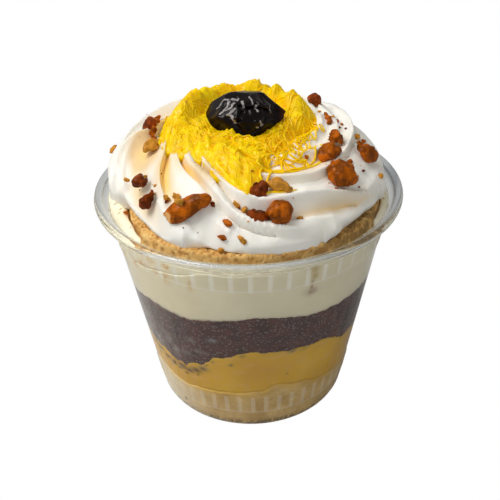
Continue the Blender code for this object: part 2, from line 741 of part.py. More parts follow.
def main():
    clear_scene()
    dessert = new_collection("cake_cup")
    clear = material("clear_plastic", (0.93, 0.95, 0.96), 0.06, 1.0)
    pale_cake = material("pale_cake", (0.62, 0.44, 0.22), 0.90)
    yellow_custard = material("yellow_custard", (0.62, 0.38, 0.08), 0.40)
    dark_crumb = material("dark_crumb", (0.07, 0.04, 0.035), 0.90)
    soft_cream = material("soft_cream", (0.66, 0.60, 0.44), 0.50)
    golden_cake = material("golden_cake", (0.62, 0.38, 0.11), 0.95)
    collar_cream = material("collar_cream", (0.80, 0.66, 0.38), 0.60)
    piped_cream = material("piped_cream", (0.90, 0.86, 0.78), 0.45)
    egg_yellow = material("egg_yellow", (0.86, 0.55, 0.02), 0.35)
    dark_fruit = material("dark_fruit", (0.015, 0.008, 0.012), 0.15)
    toasted_nut = material("toasted_nut", (0.30, 0.11, 0.025), 0.45)

    cup(dessert, clear)
    base_cake(dessert, pale_cake)
    layer("custard", lambda a, s: layer_surface(BASE_TOP, a, s),
          lambda a, s: layer_surface(CUSTARD_TOP, a, s), dessert, yellow_custard)
    layer("dark_cake", lambda a, s: layer_surface(CUSTARD_TOP, a, s),
          lambda a, s: layer_surface(DARK_TOP, a, s), dessert, dark_crumb)
    layer("cream_layer", lambda a, s: layer_surface(DARK_TOP, a, s),
          lambda a, s: layer_surface(CREAM_TOP, a, s), dessert, soft_cream)
    top_cake(dessert, golden_cake)
    cake_collar(dessert, collar_cream)
    whipped_cream(dessert, piped_cream)
    egg_threads(dessert, egg_yellow)
    glazed_prune(dessert, dark_fruit)
    for number, values in enumerate(NUTS, start=1):
        nut(number, values, dessert, toasted_nut)


if __name__ == "__main__":
    main()
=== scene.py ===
"""Looks of the cake jar: cake, custard and cream in a clear ribbed cup, under a piped swirl.

The packed model is the fixed frame, in metres with +Z up. Angles go round the cup's axis in degrees,
counter-clockwise from +X, and the front of the dessert is at -90.
"""

import math
import random

import bmesh
import bpy
import numpy as np
from bpy.props import FloatProperty, FloatVectorProperty, IntProperty, PointerProperty
from mathutils import Matrix, Vector, noise
from mathutils.bvhtree import BVHTree
from numpy.linalg import norm


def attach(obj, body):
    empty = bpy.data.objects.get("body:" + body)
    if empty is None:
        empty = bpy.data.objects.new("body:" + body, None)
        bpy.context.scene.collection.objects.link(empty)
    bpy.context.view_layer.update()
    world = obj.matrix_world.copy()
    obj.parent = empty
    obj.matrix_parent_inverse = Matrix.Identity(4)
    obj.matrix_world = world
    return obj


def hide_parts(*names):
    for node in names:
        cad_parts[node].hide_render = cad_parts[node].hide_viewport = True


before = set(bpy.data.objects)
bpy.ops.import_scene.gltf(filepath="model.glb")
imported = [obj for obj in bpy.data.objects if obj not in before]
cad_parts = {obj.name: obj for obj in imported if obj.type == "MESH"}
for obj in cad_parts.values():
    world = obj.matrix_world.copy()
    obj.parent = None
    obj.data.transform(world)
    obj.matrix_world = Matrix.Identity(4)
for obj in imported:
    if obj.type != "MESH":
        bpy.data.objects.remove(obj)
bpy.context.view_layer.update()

bl_info = {
    "name": "Cake jar",
    "version": (1, 0, 0),
    "blender": (4, 5, 0),
    "location": "3D View > Sidebar > Cake jar",
    "description": "Layered cake dessert in a clear cup, with a piped swirl, egg threads, nuts and a fruit",
    "category": "Object",
}

MM = 0.001

# Cup
CUP_HEIGHT = 71.5 * MM
RIM_RADIUS = 46.0 * MM
WALL = 0.6 * MM
WALL_RADIUS_AT_FLOOR = 28.8 * MM
WALL_FLARE = 0.1942
BEAD_RADIUS = 1.25 * MM
REST_RADIUS = 25.6 * MM
FOOT_HEIGHT = 3.4 * MM
PUNT_RADIUS = 16.5 * MM
PUNT_HEIGHT = 1.2 * MM
RIB_COUNT = 48
RIB_BANDS = ((59.2 * MM, 65.9 * MM), (7.6 * MM, 15.0 * MM))
# How proud the ribs of each band stand, as a share of the setting
RIB_SHARES = (1.0, 0.5)
# Half width of a rib's flat and of its foot, as shares of the pitch
RIB_HALF_WIDTHS = (0.07, 0.15)
# Columns of the cup on and beside each rib, as shares of the pitch
RIB_COLUMNS = (-0.5, -0.36, -0.22, -0.16, -0.13, -0.10, -0.06, 0.0, 0.06, 0.10, 0.13, 0.16, 0.22, 0.36)
RIB_ROWS = 17
LEDGE_SHARE = 0.6
SEAT_HEIGHT = 68.6 * MM
SHOULDER_HEIGHT = 66.1 * MM
# Dark lines painted into the rim as dark reflections: radius, height and reach in mm, and where they are
# darkest, in degrees
RIM_DARK_REFLECTIONS = ((43.6, 70.4, 0.45), (45.2, 69.2, 0.45), (42.5, 66.4, 0.4))
RIM_REFLECTIONS_DARKEST = -5.0

# Layers: height in mm where each surface meets the wall, by degrees. The other lists give by degrees,
# in mm, how ragged the custard's top is, the radius of the top cake and how far the collar sinks.
BASE_TOP = [
    (-150, 17.8), (-133, 15.7), (-97, 17.0), (-86, 17.6), (-78, 20.2), (-66, 19.0), (-50, 16.8),
    (-28, 14.6), (40, 17.0), (120, 16.5),
]
CUSTARD_TOP = [
    (-175, 31.0), (-150, 27.5), (-128, 24.8), (-117, 27.4), (-108, 31.8), (-90, 35.1), (-52, 34.0),
    (-36, 29.5), (-10, 28.5), (60, 31.0), (130, 29.5),
]
DARK_TOP = [
    (-165, 44.0), (-139, 46.8), (-121, 46.0), (-87, 49.3), (-58, 47.0), (-20, 46.8), (60, 45.5),
    (130, 46.0),
]
CREAM_TOP = [
    (-165, 62.0), (-140, 60.5), (-122, 62.5), (-108, 65.5), (-60, 65.8), (-30, 65.5), (20, 64.0),
    (80, 62.0), (140, 63.0),
]
RAGGED_CUSTARD = [(-165, 0.4), (-152, 0.8), (-110, 0.7), (-98, 0.35), (0, 0.4), (100, 0.6)]
LEDGE_HEIGHT = 66.3 * MM
TOP_CAKE_HEIGHT = 72.0 * MM
CAKE_EDGE = [
    (-170, 35.4), (-161, 36.8), (-148, 38.6), (-140, 39.7), (-134, 40.6), (-127, 44.0), (-40, 44.0),
    (-30, 39.8), (-22, 39.4), (0, 38.8), (60, 38.0), (120, 37.2),
]
COLLAR_START = -30.0
COLLAR_END = 226.0
COLLAR_SINK = [(-30, 2.4), (30, 2.4), (80, 0.0), (205, 0.0), (226, 2.6)]

# Piped cream
CREAM_CENTRE_HEIGHT = 88.8 * MM
CREAM_SHOULDER_HEIGHT = 76.2 * MM
CREAM_RADIUS = 40.2 * MM
CREAM_FALL = 6.2
CREAM_TILT = 3.4 * MM
CREAM_TILT_ANGLE = 105.0
CREAM_DIP = 7.5 * MM
CREAM_DIP_RADIUS = 9.0 * MM
CREAM_EDGE = [
    (-172, 41.2), (-159, 37.9), (-154, 35.6), (-140, 36.3), (-128, 38.9), (-121, 40.2), (-116, 40.3),
    (-111, 38.9), (-106, 37.5), (-101, 37.9), (-96, 39.2), (-89, 40.4), (-79, 40.9), (-65, 40.9),
    (-56, 39.5), (-46, 37.6), (-35, 37.0), (-25, 38.3), (-13, 39.3), (0, 38.8), (45, 39.5), (90, 39.0),
    (140, 40.0), (168, 41.2),
]
CREAM_OVERHANG_RADIUS = 42.4 * MM
# Lines of the star nozzle's crests and of the valleys between them, each from the middle out as
# (radius in mm, degrees), with how far each stands above or below the cream's mean surface, in mm
CREST_LINES = (
    ((10, -192), (20, -148), (25, -127), (27, -115), (29, -109), (32, -103), (34.4, -98), (36, -94),
     (37.2, -88), (38.1, -82), (39, -74), (39.7, -65), (40.5, -55), (41.5, -45), (43, -33)),
    ((10, -172), (20, -130), (25, -110), (29, -100), (32, -92), (33.3, -84), (33.3, -73), (33.2, -66),
     (33.8, -55), (35.6, -42), (38.1, -29), (39.3, -20), (41, -10), (43, 0)),
    ((10, -150), (20, -106), (25, -85), (27.4, -68), (28.4, -57), (28.5, -46), (28.7, -35), (28.6, -21),
     (29.2, -7), (30.5, 4), (31.5, 14), (33, 27), (35, 40), (38, 54), (41, 66), (43, 74)),
    ((10, -105), (20, -58), (24, -20), (26, 5), (28, 30), (30, 48), (33, 66), (36, 82), (39, 97),
     (41, 108), (43, 116)),
    ((10, -60), (20, -8), (24, 28), (27, 55), (30, 78), (33, 98), (36, 115), (39, 130), (41, 140),
     (43, 148)),
    ((10, -10), (20, 45), (24, 82), (27, 108), (30, 130), (33, 148), (36, 163), (38, 172), (40, 181),
     (43, 192)),
    ((10, 75), (20, 125), (25, 160), (27.8, 173), (29.1, 176), (31.9, 177), (33.9, 179), (35.9, 184),
     (37.6, 190), (38.7, 195), (39.4, 201), (41, 212), (43, 224)),
    ((10, 118), (20, 165), (24, 192), (26.5, 207), (28.9, 212), (31.3, 217), (33.5, 222), (35, 227),
     (36.9, 231), (38.1, 235), (39.4, 241), (41, 247), (43, 255)),
    ((10, 140), (20, 188), (24.2, 213), (26.4, 223), (28.1, 230), (29.5, 237), (30.9, 244), (32.4, 249),
     (34.8, 254), (36.7, 259), (38.2, 264), (39.6, 271), (40.6, 279), (41.2, 288), (41.6, 300),
     (42.2, 315), (43, 330)),
)
CREST_RISE = (1.9, 2.0, 1.5, 1.3, 1.3, 1.2, 1.9, 1.7, 1.2)
VALLEY_LINES = (
    ((10, 154), (20, 200), (23.4, 214), (25.2, 228), (27.4, 240), (29.1, 246), (32, 253.5), (34.6, 259.5),
     (36.8, 266), (38, 272), (38.9, 278), (39.8, 286), (40.5, 295), (41.4, 305), (43, 316)),
    ((10, -182), (20, -140), (25, -119), (29, -105), (32, -98), (34.5, -90), (35.5, -80), (35.9, -70),
     (36, -59), (36.2, -50), (36.8, -42), (37.8, -34), (39, -26), (40.2, -18), (41.5, -10), (43, -2)),
    ((10, -160), (20, -118), (25, -97), (28, -80), (29.4, -68), (29.8, -57), (29.9, -46), (30, -35),
     (30.1, -21), (30.7, -7), (32, 4), (33.3, 14), (35, 25), (38, 40), (41, 52), (43, 60)),
    ((10, -128), (20, -82), (24, -55), (24.8, -40), (25.5, -25), (26.3, -5), (28, 18), (30.5, 33),
     (33, 48), (36, 63), (39, 77), (41, 88), (43, 96)),
    ((10, -82), (20, -33), (24, 5), (27, 32), (30, 62), (33, 82), (36, 98), (39, 113), (41, 124),
     (43, 132)),
    ((10, -35), (20, 18), (24, 55), (27, 82), (30, 104), (33, 123), (36, 139), (39, 153), (41, 163),
     (43, 171)),
    ((10, 32), (20, 85), (24, 120), (27, 142), (30, 156), (33, 165), (36, 175), (38, 183), (40, 193),
     (43, 207)),
    ((10, 96), (20, 145), (24, 170), (28.4, 180), (31.2, 187), (33.6, 196), (35.4, 205), (37, 216),
     (38, 225), (39.5, 231), (41, 237), (43, 243)),
    ((10, 129), (20, 176), (24, 200), (26, 209.5), (27.8, 213.5), (30.9, 221), (33.2, 228), (34.9, 234),
     (36.6, 240), (37.4, 245), (38.2, 250), (39.2, 256), (40.5, 262), (43, 270)),
)
VALLEY_DROP = (-1.7, -2.0, -0.9, -1.3, -1.4, -1.5, -2.1, -2.2, -1.7)
SWIRL_COLUMNS = 900
SWIRL_INNER_ROWS = 14
SWIRL_ROWS = 74
SWIRL_SIDE_ROWS = 16
# How often the brow above the side is eased
BROW_PASSES = 12
USUAL_CREST_DEPTH = 3.0 * MM
# Where the ridges are smoothed away: radius in mm, degrees, reach along both, share taken off
CALM_ZONES = ((25.0, 16, 4.5, 34.0, 0.8), (36.0, -122, 5.0, 14.0, 0.35))
# Where painted shade, warmed by light reflected from the egg threads, makes grooves golden and hollows beige:
# radius in mm, degrees, reach along both, width in mm and strength
GROOVE_SHADES = ((29.6, -168, 3.0, 10.0, 7.0, 0.5), (29.5, -143, 6.0, 16.0, 1.5, 1.0),
           (25.0, -128, 2.6, 12.0, 0.9, 0.8), (36.8, -42, 2.0, 20.0, 0.25, 0.45))
HOLLOW_SHADES = (
    (30.2, -169, 3.4, 13.0, 9.0, 2.6), (30.0, -140, 8.0, 18.0, 2.8, 0.8), (25.5, -40, 3.0, 30.0, 3.0, 1.0),
    (36.0, -50, 3.0, 26.0, 1.2, 0.6), (25.5, -115, 4.0, 14.0, 3.0, 1.0), (29.5, 150, 3.0, 10.0, 6.0, 0.6),
)

# Egg threads and fruit: the nest's outline as (degrees, radius in mm)
NEST_OUTLINE = [
    (178, 25.2), (-156, 25.8), (-135, 23.2), (-120, 24.3), (-109, 26.2), (-102, 28.4), (-95, 31.0),
    (-90, 32.8), (-85, 32.4), (-78, 27.0), (-57, 24.4), (-42, 24.2), (-21, 20.0), (4, 20.5), (43, 24.2),
    (70, 27.5), (105, 24.4), (138, 24.2),
]
# How thick the nest is, as (degrees, share of its full thickness)
NEST_BODY = [
    (178, 1.0), (-135, 1.0), (-110, 1.0), (-99, 1.0), (-92, 0.84), (-84, 0.66), (-75, 0.56), (-60, 0.34),
    (-30, 0.32), (-8, 0.5), (20, 0.85), (60, 1.0), (120, 1.0),
]
# How far below the fruit's middle the nest stands round it, as a share of the fruit's half height
NEST_CRADLE = [
    (175, 0.4), (-160, 0.5), (-140, 0.45), (-122, 0.25), (-108, 0.5), (-90, 0.6), (-60, 0.6), (-30, 0.5),
    (0, 0.4), (40, 0.3), (90, 0.3), (135, 0.3),
]
# Height in mm of the nest's crest round the fruit
NEST_CROWN = [
    (-150, 80.0), (-175, 94.8), (165, 97.2), (150, 98.2), (135, 97.8), (120, 97.2), (105, 96.8), (95, 96.6),
    (86, 97.0), (80, 97.8), (75, 95.6), (70, 94.5), (64, 96.2), (58, 94.4), (50, 95.0), (40, 96.6),
    (30, 95.6), (15, 93.4), (0, 91.5), (-25, 80.0),
]
# Where the crest stands in the outline, its width and how full the nest's edge is there, as shares
CROWN_SHARE = 0.78
CROWN_WIDTH = 0.20
CROWN_EDGE = 0.79
NEST_COLUMNS = 420
YOLK_SCATTER = (1.0, 0.85, 0.1)
# Painted light: the threads glow a little, standing in for light that comes through them
CORE_GLOW = (1.0, 0.68, 0.0, 1.0)
THREAD_GLOW = (1.0, 0.70, 0.0, 1.0)
TUBE_SIDES = 6
# Thinnest and thickest thread, in mm
THREAD_RADII = (0.2, 0.36)
TAIL_RADIUS = 0.28 * MM
# Where the threads at the front are drawn out to, and the corner that they are drawn out beyond
NEST_TIP = (-2.5 * MM, -31.0 * MM)
NEST_TIP_CORNER = (3.0 * MM, -13.5 * MM)
# Loose threads as (radius in mm, degrees)
THREAD_TAILS = (
    ((31.0, -94), (30.5, -88), (31.0, -82), (32.0, -76), (32.4, -70), (31.6, -65)),
    ((30.5, -95), (31.5, -89), (31.8, -83), (31.4, -77), (31.0, -72)),
    ((22.5, -88), (24.5, -80), (25.8, -70), (25.0, -60), (24.8, -50), (25.4, -42)),
    ((24.0, -30), (25.5, -34), (26.0, -42), (24.8, -48), (23.0, -46)),
    ((20.5, -20), (22.5, -24), (24.5, -28), (25.6, -36)),
    ((21.6, 6), (22.6, 4), (22.4, 0), (21.2, 0), (20.8, 4), (21.6, 7)),
)
FRUIT_CENTRE = Vector((-0.1, 0.3, 94.3)) * MM
FRUIT_HALF = Vector((10.7, 9.4, 6.1)) * MM
# Facets of the fruit as (direction, distance from its middle), as shares of its half size
FRUIT_FACETS = (
    ((0.25, -0.75, 0.6), 0.86), ((-0.15, -0.35, 0.92), 0.93), ((0.55, -0.15, 0.8), 0.88),
    ((0.8, -0.55, 0.25), 0.8), ((-0.55, -0.6, 0.55), 0.92), ((-0.85, -0.2, 0.45), 0.9),
    ((0.1, 0.45, 0.88), 0.9), ((0.7, 0.55, 0.35), 0.82), ((-0.5, 0.6, 0.6), 0.9),
    ((-0.1, -0.98, 0.05), 0.94), ((-0.6, -0.75, -0.1), 0.9), ((0.5, -0.85, -0.15), 0.9),
)
# Folds as (points in the fruit's own unit space, width, depth)
FRUIT_FOLDS = (
    (((-0.2, -0.55, 0.8), (0.00, -0.66, 0.74), (0.35, -0.62, 0.7), (0.72, -0.5, 0.48)), 0.055, 0.13),
    (((-0.28, -0.2, 0.93), (-0.22, -0.5, 0.83), (-0.12, -0.8, 0.58), (-0.22, -0.95, 0.2)), 0.05, 0.1),
    (((0.1, 0.1, 0.98), (0.18, -0.2, 0.95), (0.3, -0.5, 0.8)), 0.05, 0.08),
    (((0.36, 0.15, 0.92), (0.48, -0.15, 0.86), (0.52, -0.4, 0.76)), 0.045, 0.07),
    (((0.05, -0.66, 0.74), (0.08, -0.85, 0.5), (0.2, -0.95, 0.22)), 0.04, 0.06),
    (((-0.5, -0.8, 0.3), (-0.35, -0.9, 0.1), (-0.2, -0.95, -0.2)), 0.09, 0.12),
)

# Painted highlights, streaks that stand in for glints of light and raise the skin a little on the left lobe,
# as (points in the fruit's own unit space, half width)
FRUIT_GLINTS = (
    (((-0.47, -0.25, 0.85), (-0.6, -0.18, 0.78), (-0.7, -0.22, 0.68), (-0.78, -0.3, 0.54),
      (-0.86, -0.26, 0.44)), 0.033),
    (((-0.46, -0.33, 0.83), (-0.53, -0.48, 0.7), (-0.62, -0.58, 0.52), (-0.71, -0.6, 0.37)), 0.038),
    (((-0.35, -0.26, 0.9), (-0.25, -0.25, 0.94)), 0.08),
    (((-0.35, -0.41, 0.85), (-0.42, -0.57, 0.71), (-0.52, -0.6, 0.61), (-0.6, -0.59, 0.55)), 0.04),
    (((-0.32, -0.65, 0.69), (-0.4, -0.7, 0.59), (-0.47, -0.74, 0.48)), 0.05),
    (((-0.52, -0.75, 0.41), (-0.4, -0.83, 0.39), (-0.37, -0.9, 0.23), (-0.33, -0.94, 0.1)), 0.07),
    (((-0.11, -0.42, 0.9), (-0.08, -0.62, 0.78)), 0.05),
    (((0.09, -0.21, 0.97), (0.16, -0.41, 0.9), (0.19, -0.53, 0.83)), 0.03),
    (((0.29, -0.53, 0.8), (0.31, -0.66, 0.69), (0.36, -0.74, 0.57)), 0.042),
    (((0.39, -0.91, 0.15), (0.43, -0.9, -0.03), (0.48, -0.87, -0.11), (0.43, -0.89, -0.17)), 0.042),
    (((0.28, -0.95, -0.12), (0.33, -0.93, -0.19)), 0.035),
    (((0.7, -0.29, 0.65), (0.76, -0.41, 0.5), (0.82, -0.49, 0.29)), 0.022),
)

# Crumbs on the cream as (degrees, radius in mm, size in mm)
GOLDEN_CRUMBS = [
    (-92.8, 39.6, 2.2), (-96.2, 33.4, 2.2), (-92.5, 34.6, 2.6), (-159.4, 36.8, 1.5), (-142.9, 36.6, 1.6),
    (-150.6, 32.6, 1.3), (164.5, 41.2, 2.4), (-136.3, 35.0, 0.8), (-124.6, 33.6, 2.4), (-129.2, 35.2, 1.8),
    (-118.5, 37.9, 2.2), (-68.8, 37.4, 1.5), (-14.9, 39.2, 1.7), (27.7, 24.6, 1.0), (3.8, 32.0, 2.6),
    (-87.5, 26.0, 0.8), (-29.0, 34.6, 1.2), (-100.9, 39.6, 1.4), (20.0, 27.4, 1.1), (-139.2, 33.6, 0.9),
    (167.5, 40.6, 3.0), (172.5, 40.3, 2.2), (-169.0, 26.6, 2.6), (-163.5, 27.2, 2.4),
]
BROWN_CRUMBS = [
    (-98.2, 36.9, 2.6), (-100.3, 38.7, 2.2), (-95.4, 33.0, 1.6), (25.3, 26.6, 1.6), (13.0, 25.0, 2.4),
    (19.0, 25.8, 2.0), (18.4, 28.4, 1.3), (13.7, 29.0, 1.0), (3.1, 34.1, 1.7), (-24.1, 31.4, 1.6),
    (-153.6, 38.9, 1.5), (162.3, 41.0, 1.6), (-43.6, 22.3, 1.2), (-46.0, 34.4, 1.0), (-57.2, 18.6, 0.9),
    (170.0, 27.0, 3.2), (176.0, 27.8, 3.0), (-178.0, 26.8, 2.4), (-5.0, 25.4, 2.6), (-24.0, 25.2, 2.2),
]
DARK_CRUMBS = [
    (-106.2, 33.7, 1.4), (7.8, 29.4, 0.8), (9.0, 27.6, 0.9), (-22.0, 35.0, 1.0), (-31.6, 36.1, 0.6),
    (-128.4, 35.6, 1.2), (-124.6, 34.4, 0.9), (161.2, 31.5, 0.8), (159.0, 30.0, 3.0), (166.0, 28.6, 2.8),
    (129.5, 27.0, 1.1), (133.0, 25.6, 0.9), (149.4, 25.0, 1.3), (146.0, 25.6, 0.8),
]
BACK_CRUMBS = [(70.0, 32.0, 2.2), (115.0, 30.0, 2.0), (150.0, 35.0, 1.8), (95.0, 36.0, 1.2)]
# Smallest crumb in mm that gets a fine mesh
FINE_CRUMB = 1.0
# Where specks fell, as (degrees, radius in mm)
DUST_CENTRES = [(-117, 36), (-80, 33), (-38, 31), (-10, 27), (-18, 31), (-5, 33), (-145, 35), (168, 30),
                (-98, 36)]


def shade(red, green, blue):
    """Linear colour from sRGB numbers between 0 and 255."""
    def linear(value):
        share = value / 255.0
        return share / 12.92 if share <= 0.04045 else ((share + 0.055) / 1.055) ** 2.4
    return (linear(red), linear(green), linear(blue))


# Shapes worked out from angles and heights


def around(stations, angles):
    """Values at angles, eased between (degrees, value) stations round the axis."""
    ring = sorted((station % 360.0, value) for station, value in stations)
    marks = np.array([ring[-1][0] - 360.0, *[mark for mark, _ in ring], ring[0][0] + 360.0])
    values = np.array([ring[-1][1], *[value for _, value in ring], ring[0][1]])
    turned = np.asarray(angles, float) % 360.0
    index = np.clip(np.searchsorted(marks, turned, side="right") - 1, 0, len(marks) - 2)
    share = (turned - marks[index]) / (marks[index + 1] - marks[index])
    return values[index] + (values[index + 1] - values[index]) * (0.5 - 0.5 * np.cos(np.pi * share))


def polar(radius, angle, height):
    """Points at a radius, an angle in degrees and a height, as one array."""
    radius, angle, height = np.broadcast_arrays(radius, np.radians(angle), height)
    return np.stack([radius * np.cos(angle), radius * np.sin(angle), height], axis=-1)


def facing(points):
    """The angle in degrees that points lie at round the axis."""
    return np.degrees(np.arctan2(points[..., 1], points[..., 0]))


def turn_from(angles, middle):
    """How far round angles are from a middle one, between -180 and 180."""
    return (angles - middle + 180.0) % 360.0 - 180.0


def smooth_step(low, high, values):
    """0 below low, 1 above high and eased between them."""
    share = np.clip((np.asarray(values, float) - low) / (high - low), 0.0, 1.0)
    return share * share * (3.0 - 2.0 * share)


def noise_at(points, pitch, seed, octaves=2):
    """Fractal noise between about -1 and 1 at points, with features about pitch across."""
    offset = Vector((seed * 7.3, seed * 3.1, seed * 5.7))
    flat = np.asarray(points, float).reshape(-1, 3) / pitch
    values = [noise.fractal(Vector(point) + offset, 0.9, 2.0, octaves) for point in flat]
    return np.array(values).reshape(np.shape(points)[:-1])


def cells_at(points, pitch, seed):
    """Distance to the nearest cell's middle, as a share of pitch, at points."""
    offset = Vector((seed * 5.3, seed * 2.7, seed * 9.1))
    flat = np.asarray(points, float).reshape(-1, 3) / pitch
    values = [noise.voronoi(Vector(point) + offset)[0][0] for point in flat]
    return np.array(values).reshape(np.shape(points)[:-1])


def wall_radius(height):
    """Outside of the cup's straight wall."""
    return WALL_RADIUS_AT_FLOOR + WALL_FLARE * height


def rounded(profile, steps=5):
    """Rounds the corners of (radius, height, fillet) points, each with a short curve."""
    path = [np.array(profile[0][:2])]
    for before, corner, after in zip(profile, profile[1:], profile[2:]):
        here = np.array(corner[:2])
        into = np.array(before[:2]) - here
        away = np.array(after[:2]) - here
        reach = min(corner[2], 0.45 * norm(into), 0.45 * norm(away))
        if reach <= 0.0:
            path.append(here)
            continue
        start = here + into / norm(into) * reach
        end = here + away / norm(away) * reach
        for share in np.linspace(0.0, 1.0, steps):
            path.append((1 - share) ** 2 * start + 2 * share * (1 - share) * here + share ** 2 * end)
    path.append(np.array(profile[-1][:2]))
    return np.array(path)


def floor_profile():
    """Inside of the cup from the middle of the floor to the lid seat, with fillets."""
    return [
        (0.0, PUNT_HEIGHT + WALL, 0.0),
        (PUNT_RADIUS - WALL, PUNT_HEIGHT + WALL, 0.5 * MM),
        (PUNT_RADIUS + 2 * WALL, WALL, 0.5 * MM),
        (REST_RADIUS - WALL / 4, WALL, 0.5 * MM),
        (26.8 * MM, 1.1 * MM, 0.6 * MM),
        (28.0 * MM, 2.1 * MM, 0.8 * MM),
        (wall_radius(FOOT_HEIGHT) - WALL, FOOT_HEIGHT, 1.0 * MM),
        (wall_radius(SEAT_HEIGHT) - WALL, SEAT_HEIGHT, 0.6 * MM),
    ]


INSIDE = rounded(floor_profile())


def food_radius(heights, reach):
    """Radius of the food at heights: the cup's inside, plus a little reach into its wall."""
    rising = INSIDE[INSIDE[:, 0] > REST_RADIUS - WALL]
    return np.interp(heights, rising[:, 1], rising[:, 0]) + reach


# Meshes


def food_collection():
    """The collection that the dessert's pieces are kept in."""
    name = "cake_jar"
    if name not in bpy.data.collections:
        bpy.context.scene.collection.children.link(bpy.data.collections.new(name))
    return bpy.data.collections[name]


def new_piece(name, points, faces, material):
    """A named mesh object with one material, its normals facing out."""
    mesh = bpy.data.meshes.new(name)
    mesh.from_pydata(np.asarray(points, float).reshape(-1, 3).tolist(), [], faces)
    bm = bmesh.new()
    bm.from_mesh(mesh)
    bmesh.ops.recalc_face_normals(bm, faces=bm.faces)
    bm.to_mesh(mesh)
    bm.free()
    mesh.shade_smooth()
    mesh.materials.append(material)
    piece = bpy.data.objects.new(name, mesh)
    food_collection().objects.link(piece)
    return piece


def ring_faces(rows, columns, wrapped=True):
    """Quads between rows of points, closed round the columns when wrapped."""
    grid = np.arange(rows * columns).reshape(rows, columns)
    beside = np.roll(grid, -1, axis=1)
    if not wrapped:
        grid, beside = grid[:, :-1], beside[:, :-1]
    quads = np.stack([grid[:-1], beside[:-1], beside[1:], grid[1:]], axis=-1)
    return quads.reshape(-1, 4).tolist()


def ball(subdivisions, radius):
    """Points and faces of a ball of even triangles."""
    bm = bmesh.new()
    bmesh.ops.create_icosphere(bm, subdivisions=subdivisions, radius=radius)
    bm.verts.index_update()
    points = np.array([vert.co for vert in bm.verts])
    faces = [[vert.index for vert in face.verts] for face in bm.faces]
    bm.free()
    return points, faces


def ring_piece(name, rings, material):
    """A closed solid from rings of points round the axis, with a fan at its first and last ring."""
    rows, columns = rings.shape[:2]
    faces = ring_faces(rows, columns)
    points = np.concatenate([rings.reshape(-1, 3), rings[:1].mean(axis=1), rings[-1:].mean(axis=1)])
    first, last = len(points) - 2, len(points) - 1
    for column in range(columns):
        beside = (column + 1) % columns
        faces.append((first, beside, column))
        faces.append((last, (rows - 1) * columns + column, (rows - 1) * columns + beside))
    return new_piece(name, points, faces, material)


def paint(piece, name, values):
    """Keeps one number a point on a piece, for its material."""
    attribute = piece.data.attributes.new(name, "FLOAT", "POINT")
    padded = np.zeros(len(piece.data.vertices), np.float32)
    flat = np.asarray(values, np.float32).ravel()
    padded[:len(flat)] = flat
    attribute.data.foreach_set("value", padded)


def marks_at(points, marks):
    """Strength at points of soft round marks given as (degrees, height mm, width mm, height mm)."""
    angles = facing(points)
    radii = np.hypot(points[..., 0], points[..., 1])
    total = np.zeros(points.shape[:-1])
    for angle, height, width, tall in marks:
        across = np.radians(turn_from(angles, angle)) * radii / (width * MM)
        up = (points[..., 2] - height * MM) / (tall * MM)
        total = np.maximum(total, np.exp(-(across ** 2 + up ** 2) * 1.4))
    return total


# Materials


def add_node(tree, kind, **settings):
    """A shader node with settings and, by name, plain values for its inputs."""
    node = tree.nodes.new(kind)
    inputs = settings.pop("inputs", {})
    for key, value in settings.items():
        setattr(node, key, value)
    for key, value in inputs.items():
        if isinstance(value, tuple) and len(value) == 3 and node.inputs[key].type == "RGBA":
            value = (*value, 1.0)
        node.inputs[key].default_value = value
    return node


def add_maths(tree, operation, inputs=None, clamp=False):
    """A node that works out a number, with plain values for some of its inputs."""
    return add_node(tree, "ShaderNodeMath", operation=operation, use_clamp=clamp, inputs=inputs or {})


def add_links(tree, *links):
    """Links in a tree, each given as (node, its output, next node, its input)."""
    for start, output, end, socket in links:
        tree.links.new(start.outputs[output], end.inputs[socket])


def choose_by_ray(tree, ray, usual, chosen):
    """Shows one shader to one kind of light ray and the usual one to all others."""
    rays = add_node(tree, "ShaderNodeLightPath")
    mixed = add_node(tree, "ShaderNodeMixShader")
    add_links(tree, (rays, ray, mixed, "Fac"), (usual, 0, mixed, 1), (chosen, 0, mixed, 2),
              (mixed, "Shader", tree.nodes["Material Output"], "Surface"))


def new_group(name, values, colours, result):
    """An empty shader node group with its inputs and one output, or None when it was made before."""
    if name in bpy.data.node_groups:
        return None
    group = bpy.data.node_groups.new(name, "ShaderNodeTree")
    for socket in values:
        group.interface.new_socket(name=socket, in_out="INPUT", socket_type="NodeSocketFloat")
    for socket in colours:
        group.interface.new_socket(name=socket, in_out="INPUT", socket_type="NodeSocketColor")
    kind = "NodeSocketColor" if result == "Color" else "NodeSocketFloat"
    group.interface.new_socket(name=result, in_out="OUTPUT", socket_type=kind)
    return group


def mottle_group():
    """Two tones that drift into each other over a surface."""
    group = new_group("mottle", ("Scale", "Spread"), ("Light", "Dark"), "Color")
    if group is None:
        return bpy.data.node_groups["mottle"]
    given = add_node(group, "NodeGroupInput")
    place = add_node(group, "ShaderNodeTexCoord")
    drift = add_node(group, "ShaderNodeTexNoise", inputs={"Detail": 5.0, "Roughness": 0.6})
    centre = add_maths(group, "SUBTRACT", {1: 0.5})
    spread = add_maths(group, "MULTIPLY_ADD", {2: 0.5}, clamp=True)
    blend = add_node(group, "ShaderNodeMix", data_type="RGBA")
    out = add_node(group, "NodeGroupOutput")
    add_links(group, (place, "Object", drift, "Vector"), (given, "Scale", drift, "Scale"),
              (drift, "Fac", centre, 0), (centre, 0, spread, 0), (given, "Spread", spread, 1),
              (spread, 0, blend, "Factor"), (given, "Light", blend, "A"), (given, "Dark", blend, "B"),
              (blend, "Result", out, "Color"))
    return group


